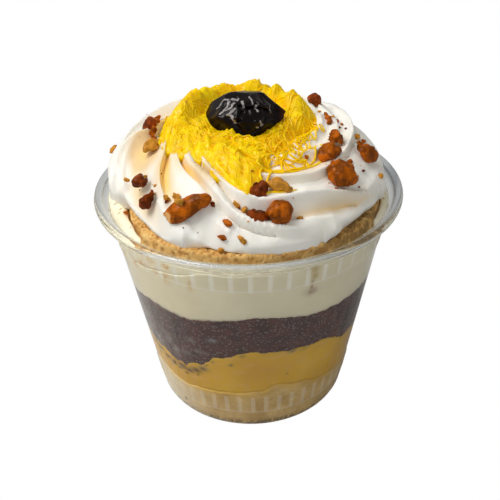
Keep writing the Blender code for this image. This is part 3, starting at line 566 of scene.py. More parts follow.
def pores_group():
    """Scattered small cells of uneven size, as a mask that is 1 in their middles."""
    group = new_group("pores", ("Scale", "Size"), (), "Mask")
    if group is None:
        return bpy.data.node_groups["pores"]
    given = add_node(group, "NodeGroupInput")
    place = add_node(group, "ShaderNodeTexCoord")
    cells = add_node(group, "ShaderNodeTexVoronoi")
    drift = add_node(group, "ShaderNodeTexNoise", inputs={"Detail": 2.0})
    reach = add_maths(group, "MULTIPLY")
    inside = add_maths(group, "SUBTRACT")
    crisp = add_maths(group, "MULTIPLY", {1: 6.0}, clamp=True)
    out = add_node(group, "NodeGroupOutput")
    add_links(group, (place, "Object", cells, "Vector"), (place, "Object", drift, "Vector"),
              (given, "Scale", cells, "Scale"), (given, "Scale", drift, "Scale"),
              (drift, "Fac", reach, 0), (given, "Size", reach, 1), (reach, 0, inside, 0),
              (cells, "Distance", inside, 1), (inside, 0, crisp, 0), (crisp, 0, out, "Mask"))
    return group


def rib_light_group():
    """Bars of light that the cup's ribs throw on the food behind them, in one band of heights."""
    group = new_group("rib_light", ("Low", "High", "Half Width", "Edge"), (), "Mask")
    if group is None:
        return bpy.data.node_groups["rib_light"]
    given = add_node(group, "NodeGroupInput")
    place = add_node(group, "ShaderNodeTexCoord")
    parts = add_node(group, "ShaderNodeSeparateXYZ")
    bearing = add_maths(group, "ARCTAN2")
    ribs = add_maths(group, "MULTIPLY", {1: RIB_COUNT / math.tau})
    away = add_maths(group, "PINGPONG", {1: 0.5})
    bar = add_node(group, "ShaderNodeMapRange", interpolation_type="SMOOTHSTEP",
                   inputs={"To Min": 1.0, "To Max": 0.0})
    over = add_maths(group, "SUBTRACT")
    under = add_maths(group, "SUBTRACT")
    above = add_node(group, "ShaderNodeMapRange", inputs={"From Max": 0.3 * MM})
    below = add_node(group, "ShaderNodeMapRange", inputs={"From Max": 0.5 * MM})
    foot = add_node(group, "ShaderNodeMapRange", inputs={"From Min": 0.5 * MM, "From Max": 0.9 * MM,
                                                         "To Min": 1.0, "To Max": 0.0})
    wide = add_maths(group, "MAXIMUM")
    held = add_maths(group, "MULTIPLY")
    mask = add_maths(group, "MULTIPLY", clamp=True)
    out = add_node(group, "NodeGroupOutput")
    add_links(group, (place, "Object", parts, "Vector"), (parts, "Y", bearing, 0), (parts, "X", bearing, 1),
              (bearing, 0, ribs, 0), (ribs, 0, away, 0), (away, 0, bar, "Value"),
              (given, "Half Width", bar, "From Min"), (given, "Edge", bar, "From Max"),
              (parts, "Z", over, 0), (given, "Low", over, 1), (given, "High", under, 0),
              (parts, "Z", under, 1), (over, 0, above, "Value"), (over, 0, foot, "Value"),
              (under, 0, below, "Value"), (bar, "Result", wide, 0), (foot, "Result", wide, 1),
              (above, "Result", held, 0), (below, "Result", held, 1), (wide, 0, mask, 0),
              (held, 0, mask, 1), (mask, 0, out, "Mask"))
    return group


def new_material(name):
    """An empty material with its nodes and its Principled shader."""
    material = bpy.data.materials.new(name)
    material.use_nodes = True
    return material, material.node_tree, material.node_tree.nodes["Principled BSDF"]


class Finish:
    """One material being built: a Principled shader and the colour that reaches it."""

    def __init__(self, name, light, dark, roughness, scale, spread=2.5):
        self.material, self.tree, self.shader = new_material(name)
        self.shader.inputs["Roughness"].default_value = roughness
        mottle = add_node(self.tree, "ShaderNodeGroup", node_tree=mottle_group(),
                          inputs={"Scale": scale, "Spread": spread, "Light": (*light, 1.0),
                                  "Dark": (*dark, 1.0)})
        self.colour = mottle.outputs["Color"]

    def set(self, **values):
        """Plain values for the shader's own sockets, their names with _ for a space."""
        for key, value in values.items():
            self.shader.inputs[key.replace("_", " ")].default_value = value

    def pores(self, scale, size):
        """A mask of pores."""
        node = add_node(self.tree, "ShaderNodeGroup", node_tree=pores_group(),
                        inputs={"Scale": scale, "Size": size})
        return node.outputs["Mask"]

    def ribbed(self, band, colour, strength, half_width=0.06):
        """Light bars of one band of the cup's ribs, their half width as a share of the pitch."""
        low, high = band
        node = add_node(self.tree, "ShaderNodeGroup", node_tree=rib_light_group(),
                        inputs={"Low": low, "High": high, "Half Width": half_width,
                                "Edge": 2.0 * half_width})
        self.tint(node.outputs["Mask"], colour, strength)

    def painted(self, name):
        """The number that the piece's mesh keeps under this name."""
        return add_node(self.tree, "ShaderNodeAttribute", attribute_name=name).outputs["Fac"]

    def tint(self, mask, colour, strength):
        """Mixes a colour in where the mask says."""
        amount = add_maths(self.tree, "MULTIPLY", {1: strength}, clamp=True)
        blend = add_node(self.tree, "ShaderNodeMix", data_type="RGBA", inputs={"B": (*colour, 1.0)})
        self.tree.links.new(mask, amount.inputs[0])
        self.tree.links.new(amount.outputs[0], blend.inputs["Factor"])
        self.tree.links.new(self.colour, blend.inputs["A"])
        self.colour = blend.outputs["Result"]

    def bumps(self, scale, distance):
        """Fine relief from noise."""
        place = add_node(self.tree, "ShaderNodeTexCoord")
        grain = add_node(self.tree, "ShaderNodeTexNoise", inputs={"Scale": scale, "Detail": 6.0})
        bump = add_node(self.tree, "ShaderNodeBump", inputs={"Distance": distance})
        add_links(self.tree, (place, "Object", grain, "Vector"), (grain, "Fac", bump, "Height"),
                  (bump, "Normal", self.shader, "Normal"))

    def done(self):
        """The finished material."""
        self.tree.links.new(self.colour, self.shader.inputs["Base Color"])
        return self.material


def clear_plastic_material(settings):
    """Thin clear plastic that lets the lamps through to the food behind it."""
    material, tree, shader = new_material("clear_plastic")
    shader.inputs["Transmission Weight"].default_value = 1.0
    shader.inputs["IOR"].default_value = 1.46
    # The painted dark reflections in the rim are mixed into the plastic's tint here
    line = add_node(tree, "ShaderNodeAttribute", attribute_name="line")
    tint = add_node(tree, "ShaderNodeMix", data_type="RGBA",
                    inputs={"A": (*settings.plastic_colour, 1.0), "B": (*settings.rim_painted_reflection, 1.0)})
    place = add_node(tree, "ShaderNodeTexCoord")
    haze = add_node(tree, "ShaderNodeTexNoise", inputs={"Scale": 90.0, "Detail": 3.0})
    rough = add_node(tree, "ShaderNodeMapRange", inputs={"To Min": 0.02, "To Max": settings.haze})
    add_links(tree, (line, "Fac", tint, "Factor"), (tint, "Result", shader, "Base Color"),
              (place, "Object", haze, "Vector"), (haze, "Fac", rough, "Value"),
              (rough, "Result", shader, "Roughness"))
    choose_by_ray(tree, "Is Shadow Ray", shader, add_node(tree, "ShaderNodeBsdfTransparent"))
    return material


# Cup


def cup_profile():
    """The cup's section from the middle of the floor, up the inside and down the outside."""
    bead = (RIM_RADIUS - BEAD_RADIUS, CUP_HEIGHT - BEAD_RADIUS)
    section = floor_profile() + [(42.0 * MM, 69.5 * MM, 0.4 * MM), (43.3 * MM, 70.3 * MM, 0.4 * MM)]
    for turn in np.radians(np.linspace(140.0, -80.0, 23)):
        section.append((bead[0] + BEAD_RADIUS * math.cos(turn),
                        bead[1] + BEAD_RADIUS * math.sin(turn), 0.0))
    section += [
        (wall_radius(SEAT_HEIGHT) + 0.4 * MM, SEAT_HEIGHT, 0.5 * MM),
        (wall_radius(SHOULDER_HEIGHT) + 0.5 * MM, SHOULDER_HEIGHT + 0.5 * MM, 0.3 * MM),
        (wall_radius(SHOULDER_HEIGHT), SHOULDER_HEIGHT, 0.2 * MM),
    ]
    for low, high in RIB_BANDS:
        for height in np.linspace(high, low - 4.0 * MM, RIB_ROWS):
            if height > FOOT_HEIGHT:
                section.append((wall_radius(height), height, 0.0))
    section += [
        (wall_radius(FOOT_HEIGHT), FOOT_HEIGHT, 1.0 * MM),
        (28.6 * MM, 1.7 * MM, 1.0 * MM),
        (27.3 * MM, 0.5 * MM, 0.6 * MM),
        (REST_RADIUS, 0.0, 0.3 * MM),
        (PUNT_RADIUS + WALL, 0.0, 0.3 * MM),
        (PUNT_RADIUS - WALL, PUNT_HEIGHT, 0.3 * MM),
        (0.0, PUNT_HEIGHT, 0.0),
    ]
    return rounded(section)


def rib_columns():
    """Angles of the cup's columns: close together on each rib, wide apart between ribs."""
    pitch = 360.0 / RIB_COUNT
    return (-90.0 + pitch * (np.arange(RIB_COUNT)[:, None] + np.array(RIB_COLUMNS)[None, :])).ravel()


def rib_relief(angles, heights, proud):
    """How far the ribs and the ledge under each band stand out of the wall."""
    pitch = 360.0 / RIB_COUNT
    offset = np.abs((angles + 90.0 + pitch / 2) % pitch - pitch / 2) / pitch
    bar = 1.0 - smooth_step(*RIB_HALF_WIDTHS, offset)
    relief = np.zeros(np.broadcast(angles, heights).shape)
    for (low, high), share in zip(RIB_BANDS, RIB_SHARES):
        inside = smooth_step(low - 0.2 * MM, low + 0.3 * MM, heights)
        inside = inside * (1.0 - smooth_step(high - 0.8 * MM, high, heights))
        ledge = 1.0 - smooth_step(low - 0.3 * MM, low + 0.2 * MM, heights)
        ledge = ledge * smooth_step(low - 3.6 * MM, low - 0.4 * MM, heights)
        relief = np.maximum(relief, np.maximum(inside * bar, ledge * LEDGE_SHARE) * proud * share)
    return relief


def build_cup(settings):
    profile = cup_profile()
    angles = rib_columns()
    radii = np.repeat(profile[:, :1], len(angles), axis=1)
    heights = np.repeat(profile[:, 1:], len(angles), axis=1)
    outer = np.abs(radii - wall_radius(heights)) < 0.01 * MM
    radii = radii + np.where(outer, rib_relief(angles[None, :], heights, settings.rib_proud), 0.0)
    rings = polar(radii[1:-1], angles[None, :], heights[1:-1])
    shell = ring_piece("cup_shell", rings, clear_plastic_material(settings))
    # Painted dark reflections along the rim's lines, strongest towards the right
    dark = np.zeros(rings.shape[:2])
    for radius, height, reach in RIM_DARK_REFLECTIONS:
        gap = np.hypot(profile[1:-1, 0] / MM - radius, profile[1:-1, 1] / MM - height) / reach
        dark = np.maximum(dark, np.exp(-gap ** 2)[:, None])
    turned = np.cos(np.radians(angles - RIM_REFLECTIONS_DARKEST))
    paint(shell, "line", dark * (0.2 + 0.8 * smooth_step(-0.1, 1.0, turned))[None, :])
    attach(shell, "root")
    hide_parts("cup")


# Layers in the cup


COLUMNS = 600
AROUND = np.arange(COLUMNS) * 360.0 / COLUMNS
# How far out the rings of a layer's top and underside lie, as shares of the wall's radius
FLAT_SHARES = (0.02, 0.5, 0.9)
BASE_CAKE_ROWS = 12
CUSTARD_ROWS = 20
DARK_CAKE_ROWS = 28
CREAM_LAYER_ROWS = 26
TOP_CAKE_COLUMNS = 900
TOP_CAKE_SHARES = (0.02, 0.6, 0.95)
TOP_CAKE_WALL_ROWS = 8
TOP_CAKE_SIDE_ROWS = 10
TOP_CAKE_FLAT_ROWS = 38
TOP_CAKE_HOLE = 27.0 * MM
# How many rows of the top cake's side have cream smeared over them
SMEARED_ROWS = 5
# Where shade is painted on the top cake, and how far it reaches each way, in degrees
PAINTED_SHADE_ANGLE = -38.0
PAINTED_SHADE_REACH = 30.0


def ragged(stations, roughness, pitch, seed):
    """A layer's edge at the wall, in metres, with an uneven line of its own."""
    circle = polar(38.0 * MM, AROUND, 0.0)
    wave = noise_at(circle, pitch, seed, octaves=4)
    return (around(stations, AROUND) + wave * roughness) * MM


def layer_edges():
    """Heights of the four borders between the layers at the wall, all the way round."""
    torn = 0.1 + 1.3 * around(RAGGED_CUSTARD, AROUND)
    return [
        ragged(BASE_TOP, 0.45, 5.0 * MM, 1),
        ragged(CUSTARD_TOP, torn, 2.6 * MM, 2),
        ragged(DARK_TOP, 0.45, 2.4 * MM, 3),
        ragged(CREAM_TOP, 0.35, 4.0 * MM, 4),
    ]


def flat_rings(edge, shares, reach, angles=AROUND):
    """Rings of a layer's top or underside, which levels out from its edge at the wall to its middle."""
    rings = []
    for share in shares:
        level = edge.mean() + (edge - edge.mean()) * share ** 2
        rings.append(polar(share * food_radius(level, reach), angles, level))
    return rings


def wall_rings(low, high, shares, reach, angles=AROUND):
    """Rings of a layer's side against the cup's wall."""
    rings = []
    for share in shares:
        level = low + (high - low) * share
        rings.append(polar(food_radius(level, reach), angles, level))
    return rings


def layer_rings(low, high, reach, rows):
    """Rings of one layer: out along its underside, up the wall and back over its top."""
    side = wall_rings(low, high, np.linspace(0.0, 1.0, rows), reach)
    return np.array(flat_rings(low, FLAT_SHARES, reach) + side + flat_rings(high, FLAT_SHARES[::-1], reach))


def build_layer(name, low, high, rows, material, settings):
    """One layer as a solid that reaches just into the cup's wall, riding in its node's place."""
    rings = layer_rings(low, high, settings.reach, rows)
    piece = ring_piece(name + "_layer", rings, material)
    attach(piece, "root")
    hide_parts(name)
    return piece, rings


# Marks behind the wall as (degrees, height, half width and half height in mm)
DARK_FLECKS = [
    (-157.7, 18.1, 0.6, 0.4), (-145.8, 20.5, 0.5, 0.4), (-132.4, 21.4, 0.9, 0.5), (-127.7, 20.6, 0.8, 0.5),
    (-120.0, 22.0, 0.6, 0.5), (-113.8, 27.4, 0.7, 0.4), (-100.4, 29.3, 0.8, 0.5), (-134.8, 6.6, 0.6, 0.4),
    (-72.0, 24.0, 0.4, 0.3), (-152.0, 26.0, 2.2, 0.8), (-147.0, 24.8, 2.0, 0.9), (-141.0, 23.4, 1.9, 0.9),
    (-136.0, 22.6, 1.5, 1.2), (-130.0, 23.0, 2.6, 1.4), (-125.0, 22.6, 2.0, 1.1), (-120.5, 23.8, 2.2, 1.2),
    (-116.0, 25.6, 1.8, 1.2), (-149.0, 22.2, 0.9, 0.6), (-139.0, 20.6, 0.5, 0.3), (-110.0, 29.6, 0.9, 0.4),
    (-95.0, 34.0, 1.2, 0.5), (-70.0, 33.6, 1.8, 0.5), (-64.0, 33.2, 1.4, 0.4),
]
# Grey smears: cream smeared at the wall, partly a painted reflection of light on the wall
GREY_SMEARS_AND_SHEEN = [
    (-153.8, 24.9, 2.2, 1.6), (-150.0, 33.0, 1.4, 3.2), (-143.0, 30.0, 1.6, 2.6), (-135.0, 33.5, 1.6, 2.4),
    (-130.9, 29.7, 1.8, 1.8), (-115.3, 33.0, 2.6, 0.8), (-119.6, 37.1, 1.6, 1.2), (-149.9, 37.9, 1.5, 2.4),
    (-124.0, 30.5, 1.8, 0.8), (-112.0, 28.6, 1.2, 0.8),
]
# A bubble at the wall, painted pale as the light it reflects
PALE_SPOTS = [(-108.2, 39.2, 1.6, 0.7)]
GOLDEN_PATCHES = [
    (-139.4, 61.4, 2.0, 1.3), (-134.7, 62.0, 1.6, 1.0), (-130.6, 60.8, 1.2, 0.9), (-125.6, 60.1, 1.6, 2.0),
    (-120.6, 60.7, 1.0, 0.8), (-144.2, 59.6, 1.4, 1.6), (-114.0, 60.4, 1.2, 2.2), (-154.8, 57.4, 1.8, 2.6),
    (-133.0, 64.8, 2.6, 1.6), (-146.0, 64.6, 1.6, 1.6), (-124.0, 64.4, 1.2, 1.6), (-140.0, 65.8, 1.2, 1.0),
]
OLIVE_BLOB = [(-64.6, 64.6, 1.9, 1.8), (-64.2, 62.4, 1.5, 1.8)]
BROWN_DRIP = [(-65.4, 66.2, 1.6, 0.7), (-65.0, 60.0, 0.5, 1.2), (-65.2, 58.4, 0.7, 1.0),
              (-65.0, 56.8, 2.2, 1.5)]
# Dark specks round the foot: their strength, middle height and reach
FOOT_SPECKS = (0.9, 2.6 * MM, 1.1 * MM)


def build_base_cake(settings):
    edge, *_ = layer_edges()
    look = Finish("pale_cake", settings.base_light, settings.base_dark, roughness=0.75, scale=160.0)
    look.tint(look.pores(scale=900.0, size=0.5), settings.base_pore, strength=0.55)
    look.ribbed(RIB_BANDS[1], settings.rib_glow, strength=0.27, half_width=0.1)
    # Painted reflection: the pale cake's left side is paler where the wall reflects light
    look.tint(look.painted("pale"), settings.base_painted_reflection, strength=0.6)
    look.tint(look.painted("stain"), settings.custard_light, strength=0.7)
    look.tint(look.painted("fleck"), settings.dark_dark, strength=0.85)
    look.bumps(scale=500.0, distance=0.2 * MM)
    floor = INSIDE[1:-1]
    floor = floor[floor[:, 1] < FOOT_HEIGHT]
    rings = [polar(r + settings.reach * (r > REST_RADIUS), AROUND, z - settings.reach) for r, z in floor]
    bottom = np.full(COLUMNS, floor[-1, 1])
    rings += wall_rings(bottom, edge, np.linspace(0.0, 1.0, BASE_CAKE_ROWS)[1:], settings.reach)
    rings = np.array(rings + flat_rings(edge, FLAT_SHARES[::-1], settings.reach))
    piece = ring_piece("base_cake_layer", rings, look.done())
    strength, height, reach = FOOT_SPECKS
    specks = strength * smooth_step(-0.1, 0.2, noise_at(rings, 1.1 * MM, seed=24))
    specks = specks * np.exp(-((rings[..., 2] - height) / reach) ** 2)
    paint(piece, "fleck", np.maximum(specks, marks_at(rings, DARK_FLECKS)))
    # Painted reflection, strongest at the left side and fading out towards the front
    side = facing(rings)
    paint(piece, "pale", (1.0 - smooth_step(-150.0, -105.0, side)) * (side < 0))
    soaked = np.exp(-np.maximum(edge[None, :] - rings[..., 2], 0.0) / (1.6 * MM))
    paint(piece, "stain", np.clip(soaked * (0.9 + 0.8 * noise_at(rings, 2.5 * MM, seed=25)), 0.0, 1.0))
    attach(piece, "root")
    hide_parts("base_cake")


def build_custard(settings):
    base, custard, _, _ = layer_edges()
    look = Finish("yellow_custard", settings.custard_light, settings.custard_dark,
                  roughness=0.35, scale=60.0)
    look.tint(look.painted("fleck"), settings.dark_dark, strength=0.95)
    look.tint(look.painted("smear"), settings.custard_pale, strength=0.25)
    look.bumps(scale=140.0, distance=0.1 * MM)
    piece, rings = build_layer("custard", base, custard, CUSTARD_ROWS, look.done(), settings)
    paint(piece, "fleck", marks_at(rings, DARK_FLECKS))
    paint(piece, "smear", smooth_step(0.5, 0.9, noise_at(rings * (1, 1, 4), 7 * MM, seed=21) + 0.4))


def build_dark_cake(settings):
    _, custard, dark, _ = layer_edges()
    look = Finish("dark_cake", settings.dark_light, settings.dark_dark,
                  roughness=0.7, scale=260.0, spread=3.0)
    # Pale specks: air pockets at the wall, with the light they reflect painted in
    look.tint(look.pores(scale=1100.0, size=0.75), settings.dark_pocket_glint, strength=0.7)
    # Grey: cream smeared at the wall, and a painted reflection of light on the wall's left side
    look.tint(look.painted("smear"), settings.dark_smear_and_sheen, strength=0.75)
    # A bubble at the wall, its reflected light painted in as a pale spot
    look.tint(look.painted("spot"), settings.dark_bubble_glint, strength=0.8)
    look.bumps(scale=600.0, distance=0.2 * MM)
    piece, rings = build_layer("dark_cake", custard, dark, DARK_CAKE_ROWS, look.done(), settings)
    # Smears in the listed marks, plus a painted reflection that greys the left side
    torn = 0.65 + 0.6 * noise_at(rings * (1, 1, 2), 1.6 * MM, seed=22, octaves=3)
    left = 0.5 * (1.0 - smooth_step(-150.0, -112.0, facing(rings)))
    paint(piece, "smear", np.clip((marks_at(rings, GREY_SMEARS_AND_SHEEN) + left) * torn, 0.0, 1.0))
    paint(piece, "spot", marks_at(rings, PALE_SPOTS))


def build_cream_layer(settings):
    _, _, dark, cream = layer_edges()
    look = Finish("layer_cream", settings.layer_cream_light, settings.layer_cream_dark,
                  roughness=0.5, scale=50.0)
    look.tint(look.painted("golden"), settings.golden_patch, strength=0.8)
    look.tint(look.painted("blob"), settings.blob, strength=0.8)
    look.tint(look.painted("drip"), settings.drip, strength=0.85)
    look.ribbed(RIB_BANDS[0], settings.rib_glow, strength=0.6)
    look.bumps(scale=120.0, distance=0.1 * MM)
    piece, rings = build_layer("cream_layer", dark, cream, CREAM_LAYER_ROWS, look.done(), settings)
    broken = np.clip(0.8 + noise_at(rings, 1.5 * MM, seed=23, octaves=3), 0.0, 1.0)
    paint(piece, "golden", np.clip(1.5 * marks_at(rings, GOLDEN_PATCHES) * broken, 0.0, 1.0))
    paint(piece, "blob", marks_at(rings, OLIVE_BLOB))
    paint(piece, "drip", np.clip(marks_at(rings, BROWN_DRIP) * broken, 0.0, 1.0))


def cake_edge(angles):
    """Radius of the top cake above the ledge that the collar lies on."""
    return np.minimum(around(CAKE_EDGE, angles) * MM, food_radius(LEDGE_HEIGHT, 0.0) - 0.3 * MM)


def crumb_height(points, depth):
    """Open cake crumb: uneven lumps and the pores between them."""
    lumps = noise_at(points, 1.3 * MM, seed=31, octaves=4)
    bent = points + noise_at(points, 2 * MM, seed=32, octaves=3)[..., None] * 0.3 * MM
    large = smooth_step(0.50, 0.10, cells_at(bent, 1.3 * MM, seed=33))
    small = smooth_step(0.5, 0.1, cells_at(points, 0.65 * MM, seed=34))
    broad = noise_at(points, 3.0 * MM, seed=30)
    return depth * (0.5 * broad + 0.45 * lumps - 0.8 * large - 0.35 * small)


def top_cake_rings(settings, angles):
    """Rings of the top cake without its crumb, and where those of its side and its top begin."""
    *_, cream = layer_edges()
    low = np.interp(angles, np.append(AROUND, 360.0), np.append(cream, cream[0]))
    ledge = np.full(len(angles), LEDGE_HEIGHT)
    rings = flat_rings(low, TOP_CAKE_SHARES, settings.reach, angles)
    rings += wall_rings(low, ledge, np.linspace(0.0, 1.0, TOP_CAKE_WALL_ROWS), settings.reach, angles)
    side = len(rings)
    edge = cake_edge(angles)
    front = edge > food_radius(LEDGE_HEIGHT, 0.0) - 0.8 * MM
    for height in np.linspace(LEDGE_HEIGHT, TOP_CAKE_HEIGHT - 0.6 * MM, TOP_CAKE_SIDE_ROWS):
        radius = np.where(front, food_radius(height, -0.1 * MM), edge)
        rings.append(polar(radius, angles, np.full(len(angles), height)))
    top = len(rings)
    full = np.where(front, food_radius(TOP_CAKE_HEIGHT, -0.5 * MM), edge - 0.4 * MM)
    for share in np.linspace(1.0, 0.0, TOP_CAKE_FLAT_ROWS) ** 0.8:
        radius = TOP_CAKE_HOLE + (full - TOP_CAKE_HOLE) * share
        rings.append(polar(radius, angles, np.full(len(angles), TOP_CAKE_HEIGHT)))
    return np.array(rings), side, top


def build_top_cake(settings):
    angles = np.arange(TOP_CAKE_COLUMNS) * 360.0 / TOP_CAKE_COLUMNS
    rings, side, top = top_cake_rings(settings, angles)
    relief = crumb_height(rings[side:], settings.crumb_depth)
    rings[top:, :, 2] += np.minimum(relief[top - side:], 0.45 * MM)
    outward = rings[side:top, :, :2] / norm(rings[side:top, :, :2], axis=-1, keepdims=True)
    rings[side:top, :, :2] += outward * np.minimum(relief[:top - side, :, None] * 0.5, 0.0)
    look = Finish("golden_cake", settings.sponge_light, settings.sponge_dark,
                  roughness=0.8, scale=260.0, spread=3.0)
    # Painted shade in the bottoms of the crumb's pores, darker where they are deeper
    look.tint(look.painted("pore_shade"), settings.sponge_pore_shade, strength=0.8)
    look.tint(look.pores(scale=1500.0, size=0.5), settings.sponge_pale, strength=0.5)
    look.tint(look.painted("smear"), settings.layer_cream_light, strength=0.95)
    # Painted shade on the top cake at the front right
    look.tint(look.painted("shade"), settings.sponge_painted_shade, strength=0.75)
    look.ribbed(RIB_BANDS[0], settings.rib_glow, strength=0.6)
    look.bumps(scale=900.0, distance=0.2 * MM)
    piece = ring_piece("top_cake_sponge", rings, look.done())
    pores = smooth_step(0.0, -0.6, relief / settings.crumb_depth)
    paint(piece, "pore_shade", np.concatenate([np.zeros((side, TOP_CAKE_COLUMNS)), pores]))
    bare = marks_at(rings, GOLDEN_PATCHES) * (0.7 + noise_at(rings, 1.2 * MM, seed=35))
    smeared = (np.arange(len(rings)) < side + SMEARED_ROWS)[:, None]
    # Painted shade at the front right, broken by gaps, kept off the smeared rows
    gaps = np.clip(0.85 + 1.1 * noise_at(rings, 2.4 * MM, seed=36, octaves=3), 0.0, 1.0)
    painted_shade = np.exp(-(turn_from(angles, PAINTED_SHADE_ANGLE) / PAINTED_SHADE_REACH) ** 2)
    paint(piece, "shade", gaps * painted_shade * ~smeared)
    paint(piece, "smear", np.clip(1.05 - 1.2 * bare, 0.0, 1.0) * smeared)
    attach(piece, "root")
    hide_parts("top_cake")


# Section of the collar from its inner edge out, as (share of its width, share of its fall below the crown)
COLLAR_SECTION = (
    (0.0, 0.9), (0.03, 0.55), (0.08, 0.25), (0.16, 0.06), (0.3, 0.0), (0.5, 0.03), (0.7, 0.14),
    (0.85, 0.34), (0.94, 0.6), (1.0, 1.0),
)
COLLAR_COLUMNS = 320
COLLAR_FALL = 1.7 * MM


def build_collar(settings):
    angles = np.linspace(COLLAR_START, COLLAR_END, COLLAR_COLUMNS)
    bottom = LEDGE_HEIGHT + 0.5 * MM
    inner = cake_edge(angles) + 0.25 * MM
    wobble = noise_at(polar(38.0 * MM, angles, 0.0), 9 * MM, seed=41) * 0.35 * MM
    crown = TOP_CAKE_HEIGHT - 0.2 * MM + wobble - around(COLLAR_SINK, angles) * MM
    outer = food_radius(crown - COLLAR_FALL, settings.reach)
    section = [polar(inner + (outer - inner) * share, angles, crown - drop * COLLAR_FALL)
               for share, drop in COLLAR_SECTION]
    for radius in (food_radius(bottom, settings.reach), inner):
        section.append(polar(radius, angles, np.full(COLLAR_COLUMNS, bottom)))
    grid = np.array(section)
    index = np.arange(grid[..., 0].size).reshape(len(grid), COLLAR_COLUMNS)
    faces = ring_faces(len(grid), COLLAR_COLUMNS, wrapped=False)
    faces += np.stack([index[-1, :-1], index[-1, 1:], index[0, 1:], index[0, :-1]], axis=-1).tolist()
    faces += [index[:, 0].tolist(), index[::-1, -1].tolist()]
    look = Finish("collar_cream", settings.collar_light, settings.collar_dark,
                  roughness=0.55, scale=70.0)
    # Painted golden shade along the collar's inner edge, by the gap to the cake
    look.tint(look.painted("golden"), settings.collar_edge_shade, strength=0.8)
    look.tint(look.painted("fleck"), settings.drip, strength=0.9)
    look.bumps(scale=200.0, distance=0.12 * MM)
    piece = new_piece("collar_edge", grid, faces, look.done())
    depth = np.arange(len(grid))[:, None] * np.ones(COLLAR_COLUMNS)
    uneven = 0.7 + 0.6 * noise_at(grid, 4 * MM, seed=42, octaves=3)
    paint(piece, "golden", np.clip((1.0 - smooth_step(1.0, 4.5, depth)) * uneven, 0, 1))
    paint(piece, "fleck", smooth_step(0.62, 0.8, noise_at(grid, 0.9 * MM, seed=43)))
    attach(piece, "root")
    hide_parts("cake_collar")


# Piped cream


def cream_mean(radius, angle):
    """Height of the piped cream without its crests."""
    lift = CREAM_TILT * np.cos(np.radians(angle - CREAM_TILT_ANGLE))
    share = np.minimum(radius / CREAM_RADIUS, 1.0)
    dome = 1.0 - share ** CREAM_FALL
    height = CREAM_SHOULDER_HEIGHT + (CREAM_CENTRE_HEIGHT - CREAM_SHOULDER_HEIGHT) * dome
    return height + lift * share ** 2 - CREAM_DIP * np.exp(-((radius / CREAM_DIP_RADIUS) ** 2))


def eased_line(stations, steps=10):
    """A smooth flat line through (radius in mm, degrees) stations, as points in metres."""
    index = np.arange(len(stations))
    fine = np.linspace(0, len(stations) - 1, (len(stations) - 1) * steps + 1)
    kernel = np.hanning(2 * steps + 3)
    kernel /= kernel.sum()
    tracks = []
    for column in range(2):
        track = np.interp(fine, index, [station[column] for station in stations])
        ends = np.pad(track, steps + 1, mode="reflect", reflect_type="odd")
        tracks.append(np.convolve(ends, kernel, mode="valid"))
    return polar(tracks[0][::4] * MM, tracks[1][::4], 0.0)[:, :2]


def line_distance(spots, line):
    """Distance from spots to a line of points, and the way to it."""
    start, along = line[:-1], np.diff(line, axis=0)
    away = spots[:, None] - start[None]
    share = np.clip((away * along).sum(-1) / ((along ** 2).sum(-1) + 1e-15), 0.0, 1.0)
    way = share[..., None] * along[None] - away
    gap = np.hypot(way[..., 0], way[..., 1])
    nearest = gap.argmin(axis=1)
    rows = np.arange(len(spots))
    return gap[rows, nearest], way[rows, nearest]


def nearest_line(spots, lines, levels):
    """Distance and way from spots to the nearest of the lines, and their levels eased, in metres."""
    found = [line_distance(spots, eased_line(stations)) for stations in lines]
    gaps = np.array([gap for gap, _ in found])
    best = gaps.min(axis=0)
    way = np.array([direction for _, direction in found])[gaps.argmin(axis=0), np.arange(len(spots))]
    weight = np.exp((best - gaps) / (0.8 * MM))
    return best, way, (weight * np.array(levels)[:, None]).sum(axis=0) / weight.sum(axis=0) * MM


def zone_at(radii, angles, zone):
    """Strength of a soft patch of the cream, given as (radius in mm, degrees, reach along both)."""
    middle, angle, tall, wide = zone
    return np.exp(-((radii / MM - middle) / tall) ** 2 - (turn_from(angles, angle) / wide) ** 2)


def swirl_relief(spots, settings):
    """Height of crests and valleys at flat spots, their sideways curl and the distance to both."""
    to_crest, _, rise = nearest_line(spots, CREST_LINES, CREST_RISE)
    to_valley, way, drop = nearest_line(spots, VALLEY_LINES, VALLEY_DROP)
    width = to_crest + to_valley + 0.01 * MM
    share = to_crest / width
    radius = np.hypot(spots[:, 0], spots[:, 1])
    hollow = 1.0 - (1.0 - share) ** 1.7
    lobe = share ** 2.2
    flank = share ** 0.9
    outer = smooth_step(36 * MM, 40 * MM, radius)
    gentle = smooth_step(1.6 * MM, 3.6 * MM, width)
    fall = hollow + (lobe - hollow) * outer
    fall = flank + (fall - flank) * gentle
    relief = rise + (drop - rise) * fall
    relief = relief * smooth_step(5 * MM, 19 * MM, radius) * settings.crest_depth / USUAL_CREST_DEPTH
    for *zone, calmed in CALM_ZONES:
        relief = relief * (1.0 - calmed * zone_at(radius, facing(spots), zone))
    reach = norm(way, axis=1, keepdims=True) + 1e-9
    lean = settings.curl * np.exp(-(to_crest / (0.9 * MM)) ** 2)
    lean = lean * (1.0 - smooth_step(2.4 * MM, 4.5 * MM, width)) * smooth_step(18 * MM, 24 * MM, radius)
    return relief, way / reach * lean[:, None], to_valley, to_crest


